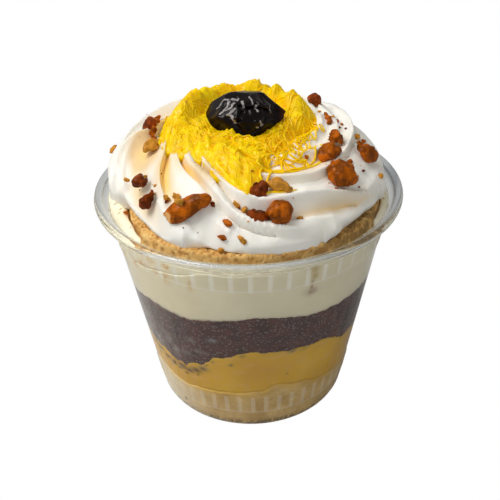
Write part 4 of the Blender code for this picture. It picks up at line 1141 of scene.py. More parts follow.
def swirl_rings(settings):
    """Rings of the swirl's top and side, with each point's distance to the nearest valley and crest."""
    angles = np.arange(SWIRL_COLUMNS) * 360.0 / SWIRL_COLUMNS
    shares = np.concatenate([np.linspace(0.03, 0.45, SWIRL_INNER_ROWS), np.linspace(0.465, 0.99, SWIRL_ROWS)])
    edge = around(CREAM_EDGE, angles) * MM
    radii = shares[:, None] * (edge + CREAM_OVERHANG_RADIUS)[None] / 2
    spots = polar(radii, angles[None], 0.0)[..., :2]
    relief, curl, to_valley, to_crest = swirl_relief(spots.reshape(-1, 2), settings)
    height = cream_mean(shares[:, None] * CREAM_RADIUS, angles[None]) + relief.reshape(radii.shape)
    rings = np.concatenate([spots + curl.reshape(*radii.shape, 2), height[..., None]], axis=-1)
    brow = rings[-1]
    bottom = TOP_CAKE_HEIGHT - 0.4 * MM
    foot = polar(edge, angles, 0.0)[:, :2]
    side = []
    for rise in np.linspace(0.93, 0.0, SWIRL_SIDE_ROWS):
        out = math.sin(rise * math.pi / 2) ** 0.8
        flat = foot + (brow[:, :2] - foot) * out
        side.append(np.concatenate([flat, (bottom + (brow[:, 2] - bottom) * rise)[:, None]], axis=-1))
    rings = np.concatenate([rings, np.array(side)])
    eased_rows = slice(len(shares) - 7, len(rings) - 2)
    for _ in range(BROW_PASSES):
        beside = (np.roll(rings, 1, axis=0)[eased_rows] + np.roll(rings, -1, axis=0)[eased_rows]) / 2
        rings[eased_rows] += (beside - rings[eased_rows]) * 0.5
    far = np.full((SWIRL_SIDE_ROWS, SWIRL_COLUMNS), 9 * MM)
    return rings, *(np.concatenate([gap.reshape(radii.shape), far]) for gap in (to_valley, to_crest))


def build_swirl(settings):
    rings, to_valley, to_crest = swirl_rings(settings)
    ripple = noise_at(rings, 6 * MM, seed=51) * 0.3 * MM + noise_at(rings, 1.8 * MM, seed=52) * 0.06 * MM
    ripple += noise_at(rings, 0.9 * MM, seed=53) * 0.04 * MM * np.exp(-(to_crest / (0.7 * MM)) ** 2)
    rings[..., 2] += ripple * (np.arange(len(rings)) < len(rings) - 3)[:, None]
    inward = rings[-1] * (0.55, 0.55, 1.0)
    rings = np.concatenate([rings, inward[None]])
    look = Finish("whipped_cream", settings.cream_light, settings.cream_dark,
                  roughness=0.45, scale=45.0, spread=1.5)
    # Painted shade, warmed by light reflected from the egg threads, in the hollows and grooves
    look.tint(look.painted("hollow_shade"), settings.hollow_warm_shade, strength=0.75)
    look.tint(look.painted("groove_shade"), settings.groove_shade, strength=0.95)
    look.set(Subsurface_Weight=0.2, Subsurface_Scale=0.003, Subsurface_Radius=(1.0, 0.8, 0.55))
    look.bumps(scale=260.0, distance=0.06 * MM)
    piece = ring_piece("piped_swirl", rings, look.done())
    radii = norm(rings[:-1, :, :2], axis=-1)
    # Painted shade near the valleys, within the listed patches
    for name, zones, gain in (("groove_shade", GROOVE_SHADES, 1.6), ("hollow_shade", HOLLOW_SHADES, 1.3)):
        tone = np.zeros(radii.shape)
        for *zone, reach, strength in zones:
            patch = strength * zone_at(radii, facing(rings[:-1]), zone)
            tone = np.maximum(tone, patch * np.exp(-(to_valley / (reach * MM)) ** 2))
        paint(piece, name, np.clip(gain * tone, 0.0, 1.0))
    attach(piece, "root")
    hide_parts("whipped_cream")


def resting_tree(*pieces):
    """What pieces laid on these are seated with."""
    points, faces = [], []
    for piece in pieces:
        start = len(points)
        points += [vertex.co for vertex in piece.data.vertices]
        faces += [[start + corner for corner in face.vertices] for face in piece.data.polygons]
    return BVHTree.FromPolygons(points, faces)


def surface_at(tree, x, y):
    """Height and normal of the topmost surface over a point."""
    spot, normal, _, _ = tree.ray_cast(Vector((x, y, 0.2)), Vector((0.0, 0.0, -1.0)))
    if spot is None:
        return TOP_CAKE_HEIGHT, Vector((0.0, 0.0, 1.0))
    return spot.z, normal if normal.z > 0 else -normal


# Egg threads


def fruit_reach(x, y):
    """Distance from the fruit's middle, as a share of its half width in that direction."""
    return np.hypot((x - FRUIT_CENTRE.x) / FRUIT_HALF.x, (y - FRUIT_CENTRE.y) / FRUIT_HALF.y)


def nest_ground(tree, x, y):
    """Height of the cream under the nest, bridging its valleys."""
    near = 2.2 * MM
    heights = [surface_at(tree, x + dx, y + dy)[0] for dx, dy in
               ((0, 0), (near, 0), (-near, 0), (0, near), (0, -near))]
    return 0.6 * max(heights) + 0.4 * sum(heights) / len(heights)


def nest_share(x, y):
    """How far out in the nest's outline a point lies, 1 being on it."""
    return math.hypot(x, y) / (float(around(NEST_OUTLINE, math.degrees(math.atan2(y, x)))) * MM)


def nest_height(tree, x, y, settings):
    """Height of the nest over a point."""
    angle = math.degrees(math.atan2(y, x))
    share = nest_share(x, y)
    ground = nest_ground(tree, x, y)
    edge = max(0.0, 1.0 - share ** 4.0) ** 0.5
    height = ground + settings.nest_thickness * float(around(NEST_BODY, angle)) * edge
    crest = float(around(NEST_CROWN, angle)) * MM
    if crest > ground:
        inner = math.exp(-((share - CROWN_SHARE) / CROWN_WIDTH) ** 2)
        rise = inner if share < CROWN_SHARE else edge / CROWN_EDGE
        height = max(height, ground + (crest - ground) * min(1.0, rise))
    away = float(fruit_reach(x, y))
    cradle = FRUIT_CENTRE.z - float(around(NEST_CRADLE, angle)) * FRUIT_HALF.z
    if cradle > height:
        height += (cradle - height) * math.exp(-(max(0.0, away - 1.0) / 0.36) ** 2)
    reach = away / 1.02
    if reach < 1.0:
        height = min(height, FRUIT_CENTRE.z - FRUIT_HALF.z * 0.7 * math.sqrt(1.0 - reach * reach))
    return height


def flow_heading(x, y):
    """Direction that the threads run in: round the fruit, and drawn out to the tip at the front."""
    drift = noise.noise(Vector((x, y, 0.004)) / (7.0 * MM)) * 1.3
    if x < NEST_TIP_CORNER[0] and y < NEST_TIP_CORNER[1]:
        return math.atan2(NEST_TIP[1] - y, NEST_TIP[0] - x) + drift
    return math.atan2(y, x) + math.pi / 2 + drift


def thread_route(start, draw, tree, loose):
    """A thread that runs with the flow from its start, over the nest and round the fruit."""
    x, y = start
    bend = draw.uniform(-0.05, 0.05) + (draw.choice((-0.16, 0.16)) if loose else 0.0)
    turn = draw.gauss(0.0, 0.7 if loose else 0.3)
    way = 1.0 if draw.random() < 0.5 else -1.0
    lift = draw.uniform(0.0, 0.5) * MM if loose else draw.uniform(-0.28, -0.04) * MM
    step = 0.6 * MM
    flat, heights = [], []
    for _ in range(draw.randint(9, 24)):
        heading = flow_heading(x, y) + turn
        turn += bend + draw.uniform(-0.12, 0.12)
        x += way * step * math.cos(heading)
        y += way * step * math.sin(heading)
        away = float(fruit_reach(x, y)) / 1.03
        if away < 1.0:
            x = FRUIT_CENTRE.x + (x - FRUIT_CENTRE.x) / away
            y = FRUIT_CENTRE.y + (y - FRUIT_CENTRE.y) / away
        share = nest_share(x, y)
        if share > 1.0:
            x, y = x / share, y / share
            turn += 0.5
        flat.append((x, y))
        heights.append(surface_at(tree, x, y)[0])
    ends = [heights[0], *heights, heights[-1]]
    return np.array([(x, y, max(z, (before + z + after) / 3) + lift) for (x, y), before, z, after
                     in zip(flat, ends, heights, ends[2:])])


def nest_rings(tree, settings):
    """Rings of the nest's lumpy top and of its underside, and the painted shade of each point of the top,
    more where it lies deep.
    """
    shares = np.concatenate([np.linspace(0.03, 0.9, 54), np.linspace(0.915, 1.0, 8)])
    angles = np.arange(NEST_COLUMNS) * 360.0 / NEST_COLUMNS
    full = smooth_step(0.34, 0.80, around(NEST_BODY, angles))
    ragged_edge = 1.0 + 0.09 * noise_at(polar(20 * MM, angles, 0.0), 2.6 * MM, seed=60, octaves=4)
    outline = around(NEST_OUTLINE, angles) * MM * (0.62 + 0.38 * full) * ragged_edge
    rings = []
    for share in shares:
        row = []
        for angle, reach in zip(angles, outline):
            x, y, _ = polar(share * reach, angle, 0.0)
            edge = 1.0 - share ** 8
            foot = (nest_ground(tree, x, y) - 0.3 * MM) * (1.0 - edge)
            row.append((x, y, nest_height(tree, x, y, settings) * edge + foot))
        rings.append(row)
    rings = np.array(rings)
    flat = rings * (1, 1, 0.3)
    radii = norm(rings[..., :2], axis=-1)
    bend = noise_at(flat, 6 * MM, seed=62)[..., None] * np.array((2.2, -1.6, 0.0)) * MM
    lumps = noise_at(flat, 4.4 * MM, seed=61) * 0.7 + noise_at(flat, 2.2 * MM, seed=66) * 0.35
    strands = 1.0 - np.abs(noise_at((flat + bend) * (1.0, 1.0, 0.0), 1.9 * MM, seed=63)) * 3.0
    drawn = polar(3.2 * MM, angles, radii + bend[..., 0] * 0.6)[..., (0, 2, 1)]
    fibres = noise_at(drawn, 0.75 * MM, seed=64)
    inside = (1.0 - shares ** 10)[:, None]
    rings[..., 2] += (lumps + 0.3 * strands + 0.1 * fibres) * MM * inside * settings.nest_lumps
    under = rings[::-1] - (0.0, 0.0, 1.6 * MM)
    # Painted shade where the top lies deep between lumps, strands and fibres
    deep = np.clip(0.15 - 0.40 * strands - 0.6 * lumps - 0.3 * fibres, 0.0, 1.0)
    return np.concatenate([rings, under]), deep


def nest_threads(laid, settings):
    """Points and faces of all the threads laid over the nest."""
    points, faces = [], []
    draw = random.Random(11)
    for _ in range(settings.thread_count):
        angle = draw.uniform(0.0, 360.0)
        loose = float(around(NEST_BODY, angle)) < 0.6
        if not loose and draw.random() < 0.22:
            angle = draw.uniform(-90.0, 10.0)
            loose = True
        share = draw.uniform(0.4, 0.97) if loose else draw.uniform(0.2, 0.99)
        x, y, _ = polar(share * float(around(NEST_OUTLINE, angle)) * MM, angle, 0.0)
        route = thread_route((x, y), draw, laid, loose)
        add_tube(points, faces, route, draw.uniform(*THREAD_RADII) * MM)
    for stations in THREAD_TAILS:
        route = [(x, y, surface_at(laid, x, y)[0] + 0.2 * MM) for x, y in eased_line(stations)]
        add_tube(points, faces, np.array(route), TAIL_RADIUS)
    return np.concatenate(points), faces


def build_nest(settings, swirl):
    rings, deep = nest_rings(resting_tree(swirl), settings)
    look = Finish("egg_thread_core", settings.thread_light, settings.thread_shade,
                  roughness=0.30, scale=150.0, spread=2.5)
    # Painted shade, deeper orange, between the threads
    look.tint(look.painted("deep"), settings.thread_hollow_shade, strength=0.8)
    look.set(Subsurface_Weight=0.5, Subsurface_Scale=0.0025, Subsurface_Radius=YOLK_SCATTER,
             Specular_IOR_Level=0.12, Coat_Weight=0.2, Coat_Roughness=0.06,
             Emission_Color=CORE_GLOW, Emission_Strength=settings.thread_glow)
    look.bumps(scale=650.0, distance=0.3 * MM)
    core = ring_piece("egg_thread_core", rings, look.done())
    paint(core, "deep", deep)
    look = Finish("egg_threads", settings.thread_light, settings.thread_shade,
                  roughness=0.28, scale=130.0, spread=2.2)
    look.set(Subsurface_Weight=0.35, Subsurface_Scale=0.002, Subsurface_Radius=YOLK_SCATTER,
             Specular_IOR_Level=0.12, Coat_Weight=0.25, Coat_Roughness=0.08,
             Emission_Color=THREAD_GLOW, Emission_Strength=settings.thread_glow)
    points, faces = nest_threads(resting_tree(swirl, core), settings)
    threads = new_piece("egg_thread_strands", points, faces, look.done())
    for piece in (core, threads):
        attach(piece, "root")
        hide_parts("egg_threads")


def add_tube(points, faces, route, radius):
    """Adds a closed tube along a route to lists of points and faces."""
    start = sum(len(block) for block in points)
    tangent = np.gradient(route, axis=0)
    tangent /= norm(tangent, axis=1, keepdims=True) + 1e-12
    beside = np.cross(tangent, (0.0, 0.0, 1.0))
    beside /= norm(beside, axis=1, keepdims=True) + 1e-12
    above = np.cross(beside, tangent)
    turn = (np.arange(TUBE_SIDES) * math.tau / TUBE_SIDES)[None, :, None]
    slim = np.sin(np.linspace(0.15, math.pi - 0.15, len(route)))[:, None, None] ** 0.35
    ring = np.cos(turn) * beside[:, None] + np.sin(turn) * above[:, None]
    points.append((route[:, None] + ring * radius * slim).reshape(-1, 3))
    last = (len(route) - 1) * TUBE_SIDES
    ends = [list(range(TUBE_SIDES)), [last + corner for corner in reversed(range(TUBE_SIDES))]]
    faces += [[start + corner for corner in face] for face in ring_faces(len(route), TUBE_SIDES) + ends]


# Fruit


def line_gap(directions, line):
    """Distance from each direction to a line of points in the fruit's unit space."""
    gap = np.full(len(directions), 9.0)
    for start, end in zip(line, line[1:]):
        start, end = np.array(start), np.array(end)
        along = end - start
        share = np.clip(((directions - start) @ along) / (along @ along), 0.0, 1.0)
        gap = np.minimum(gap, norm(directions - start - share[:, None] * along, axis=1))
    return gap


def fruit_size(directions, settings):
    """Distance of the fruit's skin from its middle in each direction, and its painted highlight streaks."""
    size = np.full(len(directions), 1.06)
    for facing, offset in FRUIT_FACETS:
        facing = np.array(facing) / norm(facing)
        toward = directions @ facing
        size = np.where(toward > 0.05, np.minimum(size, offset / np.maximum(toward, 0.05)), size)
    bent = directions * (1.6, 2.0, 1.8) + 0.3 * noise_at(directions, 0.9, seed=71)[:, None]
    creases = np.exp(-(noise_at(bent, 1.4, seed=72, octaves=1) / 0.06) ** 2)
    left = smooth_step(0.25, 0.6, -directions[:, 0])
    size = size + 0.05 * noise_at(directions, 0.8, seed=74)
    size = size - settings.fold_depth * 0.6 * creases * (1.0 - left)
    for line, width, depth in FRUIT_FOLDS:
        size = size - depth * np.exp(-(line_gap(directions, line) / width) ** 2)
    # Painted highlights along the listed streaks
    painted_glint = np.zeros(len(directions))
    for line, width in FRUIT_GLINTS:
        gap = line_gap(directions, line) + 0.35 * width * noise_at(directions, 0.12, seed=75)
        painted_glint = np.maximum(painted_glint, 1.0 - smooth_step(0.45 * width, 1.05 * width, gap))
        size = size + 0.035 * left * np.exp(-(gap / (1.3 * width)) ** 2)
    return size, painted_glint


def build_fruit(settings):
    directions, faces = ball(7, 1.0)
    size, painted_glint = fruit_size(directions, settings)
    shape = directions * size[:, None]
    right = smooth_step(0.35, 1.1, shape[:, 0])
    shape[:, 1] *= 1.0 - 0.45 * right
    shape[:, 2] *= 1.0 - 0.35 * right
    look = Finish("glazed_fruit", settings.fruit_light, settings.fruit_dark,
                  roughness=0.20, scale=110.0)
    look.tint(look.painted("thin"), settings.fruit_thin, strength=0.5)
    # Painted highlights: pale streaks standing in for glints of light
    look.tint(look.painted("painted_glint"), settings.fruit_glint, strength=0.85)
    look.set(Coat_Weight=0.06, Coat_Roughness=0.05, Specular_IOR_Level=0.12)
    look.bumps(scale=380.0, distance=0.08 * MM)
    points = np.array(FRUIT_CENTRE) + shape * np.array(FRUIT_HALF)
    piece = new_piece("glazed_fruit", points, faces, look.done())
    paint(piece, "thin", smooth_step(0.82, 1.05, shape[:, 0]))
    paint(piece, "painted_glint", painted_glint)
    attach(piece, "root")
    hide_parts("glazed_prune")


# Nuts and crumbs


# Numbers of the nut pieces of each tone
NUT_KINDS = {"amber": (1, 2, 6, 7, 8, 9), "golden": (5, 12), "dark": (3, 4, 10, 11, 13, 14)}
NUT_DEEPEST = 0.9 * MM
NUT_GROWTH = np.array((1.1, 1.1, 1.2))
# The one stick among the nut pieces, the way its cut faces beside its length, and how far out the cut is
STICK = 1
CUT_FACING = np.array((0.0, -0.7, 0.35))
CUT_SHARE = 0.76


def nut_finish(kind, settings):
    """Toasted nut of one tone, with a caramel sheen and painted shade in its creases."""
    light = {"amber": settings.amber, "golden": settings.golden, "dark": settings.toasted}[kind]
    deep = tuple((0.6 if kind == "golden" else 0.34) * tone for tone in light)
    look = Finish("nut_" + kind, light, deep, roughness=0.5, scale=330.0, spread=5.0)
    # Painted shade in the creases
    look.tint(look.painted("crevice_shade"), deep, strength=0.9)
    look.tint(look.painted("pale"), settings.cut_nut, strength=0.95)
    look.tint(look.pores(scale=900.0, size=0.4), settings.pale_nut, strength=0.16)
    look.set(Coat_Weight=0.12, Coat_Roughness=0.1, Specular_IOR_Level=0.04)
    look.bumps(scale=700.0, distance=0.18 * MM)
    return look.done()


def broken(points, number):
    """How far a broken nut's skin stands out, in mm, and the painted shade of its crevices, between 0 and 1.
    """
    seed = 80 + number
    swell = noise_at(points, 2.8 * MM, seed) * 0.34
    pitch = 2.3 * MM
    bent = points + noise_at(points, 1.5 * MM, seed + 40)[..., None] * 0.4 * MM
    cells = cells_at(bent, pitch, seed + 20)
    facets = (0.45 - cells) * 0.70
    grain = noise_at(points, 0.7 * MM, seed + 60) * 0.07
    smooth = 0.35 if number == STICK else 1.0
    return (swell + facets + grain) * smooth, smooth_step(0.55, 0.85, cells) * smooth


def cut_end(points):
    """Cuts the stick's left end off flat, leaning to the front, and says which points are on the cut."""
    middle = points.mean(axis=0)
    _, _, axes = np.linalg.svd(points - middle, full_matrices=False)
    along = axes[0] if axes[0][0] > 0 else -axes[0]
    outward = (CUT_FACING - along) / norm(CUT_FACING - along)
    depth = (points - middle) @ outward
    over = np.maximum(depth - CUT_SHARE * depth.max(), 0.0)
    return points - (over / (along @ outward))[:, None] * along, smooth_step(0.0, 0.2 * MM, over)


def build_nut(number, material, swirl_tree, settings):
    """A nut piece made from its packed solid, subdivided, broken up and pressed into the cream."""
    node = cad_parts[f"nut_{number:02d}"]
    bm = bmesh.new()
    bm.from_mesh(node.data)
    bmesh.ops.remove_doubles(bm, verts=bm.verts, dist=0.01 * MM)
    bmesh.ops.subdivide_edges(bm, edges=bm.edges, cuts=5, smooth=0.6, use_grid_fill=True)
    bmesh.ops.triangulate(bm, faces=bm.faces)
    bm.normal_update()
    points = np.array([vert.co for vert in bm.verts])
    normals = np.array([vert.normal for vert in bm.verts])
    proud, crevice_shade = broken(points, number)
    points = points + normals * (proud * MM * settings.nut_roughness)[:, None]
    pale = np.zeros(len(points))
    if number == STICK:
        points, pale = cut_end(points)
    foot = np.array((*points.mean(axis=0)[:2], points[:, 2].min()))
    points = foot + (points - foot) * NUT_GROWTH
    below = points[normals[:, 2] < -0.3]
    gaps = [point[2] - surface_at(swirl_tree, point[0], point[1])[0] for point in below]
    points[:, 2] -= min(max(np.percentile(gaps, 40), 0.0) + 0.3 * MM, NUT_DEEPEST)
    piece = new_piece(f"nut_piece_{number:02d}", points, [[v.index for v in f.verts] for f in bm.faces],
                      material)
    bm.free()
    paint(piece, "pale", pale)
    paint(piece, "crevice_shade", crevice_shade)
    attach(piece, "root")
    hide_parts(f"nut_{number:02d}")


def build_nuts(settings, swirl):
    tree = resting_tree(swirl)
    for kind, numbers in NUT_KINDS.items():
        material = nut_finish(kind, settings)
        for number in numbers:
            build_nut(number, material, tree, settings)


def build_crumb_piece(name, spots, material, tree, seed):
    """All crumbs of one kind as one mesh: broken lumps set a little into what they lie on."""
    draw = random.Random(seed)
    fine, coarse = ball(4, 0.5), ball(2, 0.5)
    points, faces, dark, start = [], [], [], 0
    for number, (angle, radius, size) in enumerate(spots):
        body, skin = fine if size > FINE_CRUMB else coarse
        offset = 20.0 * number + seed
        push = noise_at(body, 0.5, seed=offset, octaves=3)
        cells = cells_at(body, 0.45, offset)
        lump = body * (1.0 + 0.30 * push + 0.5 * (0.45 - cells))[:, None]
        lump = lump * (1.2, draw.uniform(0.6, 0.95), draw.uniform(0.55, 0.85)) * size * MM
        x, y, _ = polar(radius * MM, angle, 0.0)
        height, normal = surface_at(tree, x, y)
        turn = Matrix.Rotation(draw.uniform(0.0, math.tau), 3, "Z")
        lean = Vector((0.0, 0.0, 1.0)).rotation_difference(normal).to_matrix()
        lump = lump @ np.array(lean @ turn).T
        points.append(lump + np.array((x, y, height)) + np.array(normal) * size * MM * 0.2)
        faces += [[start + corner for corner in face] for face in skin]
        # Painted shade in the crumbs' creases
        dark.append(smooth_step(0.5, 0.8, cells))
        start += len(body)
    piece = new_piece(name, np.concatenate(points), faces, material)
    paint(piece, "crevice_shade", np.concatenate(dark))
    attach(piece, "root")
    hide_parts("whipped_cream")


def dust(count, seed):
    """Fine specks that fell beside the nut pieces and along the swirl."""
    draw = random.Random(seed)
    spots = []
    for _ in range(count):
        angle, radius = draw.choice(DUST_CENTRES)
        angle += draw.gauss(0.0, 7.0)
        radius = min(40.0, radius + draw.gauss(0.0, 2.2))
        spots.append((angle, radius, draw.uniform(0.22, 0.5)))
    return spots


def build_crumbs(settings, swirl):
    tree = resting_tree(swirl, bpy.data.objects["nut_piece_01"], bpy.data.objects["egg_thread_core"])
    kinds = (
        ("golden", GOLDEN_CRUMBS + BACK_CRUMBS[:2] + dust(30, 7), 3),
        ("amber", BROWN_CRUMBS + BACK_CRUMBS[2:] + dust(14, 8), 4),
        ("dark", DARK_CRUMBS + dust(12, 9), 5),
    )
    for kind, spots, seed in kinds:
        build_crumb_piece("crumbs_" + kind, spots, nut_finish(kind, settings), tree, seed)


# Stage


CAMERA_AIM = Vector((0.1, 0.0, 48.0)) * MM
CAMERA_AWAY = 297.0 * MM
CAMERA_RISE = 32.1
CAMERA_ROLL = -1.26
CAMERA_LENS = 68.4
KEY_COLOUR = (1.0, 0.99, 0.97)
FILL_COLOUR = (0.95, 0.97, 1.0)
# The main lamp's distance and size, and the second lamp's direction round and up, distance and size
KEY_LAMP = (0.8, 0.45)
FILL_LAMP = (math.radians(-60.0), math.radians(25.0), 0.9, 0.6)


def add_lamp(name, azimuth, elevation, away, size, power, colour):
    """A soft square lamp aimed at the dessert."""
    lamp = bpy.data.lights.new(name, "AREA")
    lamp.size = size
    lamp.energy = power
    lamp.color = colour
    holder = bpy.data.objects.new(name, lamp)
    direction = Vector((math.cos(azimuth) * math.cos(elevation), math.sin(azimuth) * math.cos(elevation),
                        math.sin(elevation)))
    holder.location = CAMERA_AIM + direction * away
    holder.rotation_euler = direction.to_track_quat("Z", "Y").to_euler()
    bpy.context.scene.collection.objects.link(holder)


def build_floor(settings):
    """A pale floor that the camera sees as plain white."""
    mesh = bpy.data.meshes.new("floor")
    bm = bmesh.new()
    bmesh.ops.create_circle(bm, cap_ends=True, segments=64, radius=3.0)
    bm.to_mesh(mesh)
    bm.free()
    floor = bpy.data.objects.new("floor", mesh)
    bpy.context.scene.collection.objects.link(floor)
    material, tree, shader = new_material("floor")
    shader.inputs["Base Color"].default_value = (*settings.floor_colour, 1.0)
    shader.inputs["Roughness"].default_value = 0.9
    choose_by_ray(tree, "Is Camera Ray", shader, add_node(tree, "ShaderNodeEmission"))
    mesh.materials.append(material)


def build_surroundings(settings):
    """Even light from all round, a little weaker from the right."""
    world = bpy.data.worlds.new("studio")
    world.use_nodes = True
    sky = world.node_tree
    background = sky.nodes["Background"]
    background.inputs["Strength"].default_value = settings.world_strength
    place = add_node(sky, "ShaderNodeTexCoord")
    parts = add_node(sky, "ShaderNodeSeparateXYZ")
    across = add_node(sky, "ShaderNodeMapRange", inputs={"From Min": -0.7, "From Max": 0.9})
    blend = add_node(sky, "ShaderNodeMix", data_type="RGBA",
                     inputs={"A": (*settings.sky_left, 1.0), "B": (*settings.sky_right, 1.0)})
    add_links(sky, (place, "Generated", parts, "Vector"), (parts, "X", across, "Value"),
              (across, "Result", blend, "Factor"), (blend, "Result", background, "Color"))
    bpy.context.scene.world = world
    bpy.context.scene.view_settings.view_transform = "Standard"


def build_camera():
    """The camera where the photograph was taken from."""
    lens = bpy.data.cameras.new("camera")
    lens.lens = CAMERA_LENS
    lens.sensor_width = 36.0
    camera = bpy.data.objects.new("camera", lens)
    rise = math.radians(CAMERA_RISE)
    camera.location = CAMERA_AIM + CAMERA_AWAY * Vector((0.0, -math.cos(rise), math.sin(rise)))
    look = Matrix.Rotation(math.pi / 2 - rise, 3, "X") @ Matrix.Rotation(math.radians(CAMERA_ROLL), 3, "Z")
    camera.rotation_euler = look.to_euler()
    bpy.context.scene.collection.objects.link(camera)
    bpy.context.scene.camera = camera


def build_stage(settings):
    build_floor(settings)
    add_lamp("key", settings.key_azimuth, settings.key_elevation, *KEY_LAMP, settings.key_power, KEY_COLOUR)
    add_lamp("fill", *FILL_LAMP, settings.fill_power, FILL_COLOUR)
    build_surroundings(settings)
    build_camera()


# Settings that a user would change


def colour_of(name, description, sRGB):
    return FloatVectorProperty(name=name, description=description, subtype="COLOR", size=3,
                               min=0.0, max=1.0, default=shade(*sRGB))


def length_of(name, description, default):
    return FloatProperty(name=name, description=description, default=default, unit="LENGTH")


def share_of(name, description, default):
    return FloatProperty(name=name, description=description, default=default, subtype="FACTOR")


def angle_of(name, description, degrees):
    return FloatProperty(name=name, description=description, default=math.radians(degrees), subtype="ANGLE")


def power_of(name, description, watts):
    return FloatProperty(name=name, description=description, default=watts, unit="POWER")


class CakeJarCup(bpy.types.PropertyGroup):
    """Clear cup."""
    plastic_colour: colour_of("Plastic", "Tint of the clear plastic", (248, 250, 250))
    # Dark reflections painted into the rim's plastic
    rim_painted_reflection: colour_of("Lines in the rim", "Tint where the rim's plastic is thick", (92, 100, 112))
    haze: share_of("Haze", "Roughness of the plastic where it is dullest", 0.07)
    rib_proud: length_of("Rib height", "How far a rib stands out of the wall", 0.45 * MM)


class CakeJarLayers(bpy.types.PropertyGroup):
    """Layers in the cup."""
    reach: length_of("Reach", "How far the food reaches into the cup's wall", 0.12 * MM)
    base_light: colour_of("Base cake", "Pale cake at the bottom", (240, 208, 138))
    # Painted reflection that pales the cake's left side
    base_painted_reflection: colour_of("Pale side", "Cake at the bottom where it is palest", (255, 246, 222))
    base_dark: colour_of("Base cake, deeper", "Darker tone of the pale cake", (200, 158, 86))
    base_pore: colour_of("Base cake pores", "Small holes in the pale cake", (170, 132, 84))
    custard_light: colour_of("Custard", "Yellow custard", (242, 196, 22))
    custard_dark: colour_of("Custard, deeper", "Darker tone of the custard", (224, 170, 6))
    custard_pale: colour_of("Custard, pale", "Pale streaks in the custard", (240, 200, 122))
    dark_light: colour_of("Dark cake", "Dark cake crumb", (102, 52, 42))
    dark_dark: colour_of("Dark cake, deeper", "Darkest tone of the dark cake", (54, 21, 15))
    # Air pockets at the wall, with the light they reflect painted in
    dark_pocket_glint: colour_of("Dark cake specks", "Pale specks in the dark cake", (140, 126, 122))
    # Smeared cream, and a painted reflection of light on the wall at the left
    dark_smear_and_sheen: colour_of("Grey smears", "Cream smeared over the dark cake at the wall", (168, 158, 148))
    # A bubble at the wall, with its reflected light painted in
    dark_bubble_glint: colour_of("Pale spot", "Bubble at the wall in the dark cake", (165, 165, 168))
    layer_cream_light: colour_of("Cream layer", "Cream against the wall", (250, 241, 212))
    layer_cream_dark: colour_of("Cream layer, deeper", "Darker tone of the cream layer", (238, 226, 192))
    golden_patch: colour_of("Golden patches", "Cake showing through the cream", (222, 184, 112))
    blob: colour_of("Blob", "Olive blob of cake behind the wall", (196, 166, 84))
    drip: colour_of("Syrup drip", "Brown drip in the cream layer", (146, 100, 58))
    rib_glow: colour_of("Rib light", "Light that the cup's ribs throw on the food", (255, 250, 236))
    crumb_depth: length_of("Crumb depth", "Depth of the open crumb on the top cake", 0.75 * MM)
    sponge_light: colour_of("Top cake", "Golden cake crumb", (240, 200, 126))
    sponge_dark: colour_of("Top cake, deeper", "Darker tone of the golden crumb", (216, 162, 82))
    # Painted shade in the bottoms of the pores
    sponge_pore_shade: colour_of("Top cake pores", "Bottoms of the pores", (176, 118, 50))
    # Painted shade at the front right of the top cake
    sponge_painted_shade: colour_of("Top cake, shaded", "Moist cake at the front right", (112, 82, 34))
    sponge_pale: colour_of("Top cake, pale", "Pale specks in the golden crumb", (246, 218, 160))
    collar_light: colour_of("Collar", "Smooth pale edge", (255, 248, 222))
    collar_dark: colour_of("Collar, deeper", "Darker tone of the smooth edge", (250, 234, 194))
    # Painted golden shade along the collar's inner edge
    collar_edge_shade: colour_of("Collar, inner edge", "Golden inner edge of the collar", (232, 176, 92))


class CakeJarSwirl(bpy.types.PropertyGroup):
    """Piped swirl."""
    crest_depth: length_of("Crest depth", "Height from valley to crest where it is usual",
                                USUAL_CREST_DEPTH)
    curl: length_of("Curl", "How far a sharp crest leans over its valley", 0.7 * MM)
    cream_light: colour_of("Cream", "Whipped cream", (251, 249, 243))
    cream_dark: colour_of("Cream, deeper", "Warmer tone of the whipped cream", (248, 242, 230))
    # Painted shade in the grooves, golden with light reflected from the egg threads
    groove_shade: colour_of("Groove", "Golden tone in the grooves near the egg threads", (255, 212, 120))
    # Painted shade in the broad hollows, beige with reflected light
    hollow_warm_shade: colour_of("Warm hollow", "Beige tone in the broad hollows", (226, 188, 118))


class CakeJarNest(bpy.types.PropertyGroup):
    """Nest of egg threads."""
    thread_count: IntProperty(name="Threads", description="How many threads lie over the nest", default=340)
    nest_thickness: length_of("Thickness", "Thickness of the nest at its fullest", 3.6 * MM)
    nest_lumps: share_of("Lumps", "Strength of the nest's lumps and strands", 1.0)
    # Painted light: an emission standing in for light that comes through the threads
    thread_glow: share_of("Glow", "Light that comes through the threads", 0.05)
    thread_light: colour_of("Threads", "Egg yellow", (255, 218, 0))
    thread_shade: colour_of("Threads, deeper", "Darker tone of the threads", (255, 194, 0))
    # Painted shade between the threads
    thread_hollow_shade: colour_of("Core", "Tone between the threads", (248, 164, 0))


class CakeJarFruit(bpy.types.PropertyGroup):
    """Glazed fruit."""
    fold_depth: share_of("Folds", "Depth of the fine folds, as a share of the fruit's size", 0.10)
    fruit_light: colour_of("Fruit", "Near black skin", (20, 9, 11))
    fruit_dark: colour_of("Fruit, deeper", "Darkest tone of the skin", (6, 2, 3))
    # Painted highlights: pale streaks standing in for glints of light
    fruit_glint: colour_of("Glaze", "Streaks of pale glaze", (168, 162, 160))
    fruit_thin: colour_of("Fruit, thin edge", "Brown where the skin is thin", (92, 46, 18))


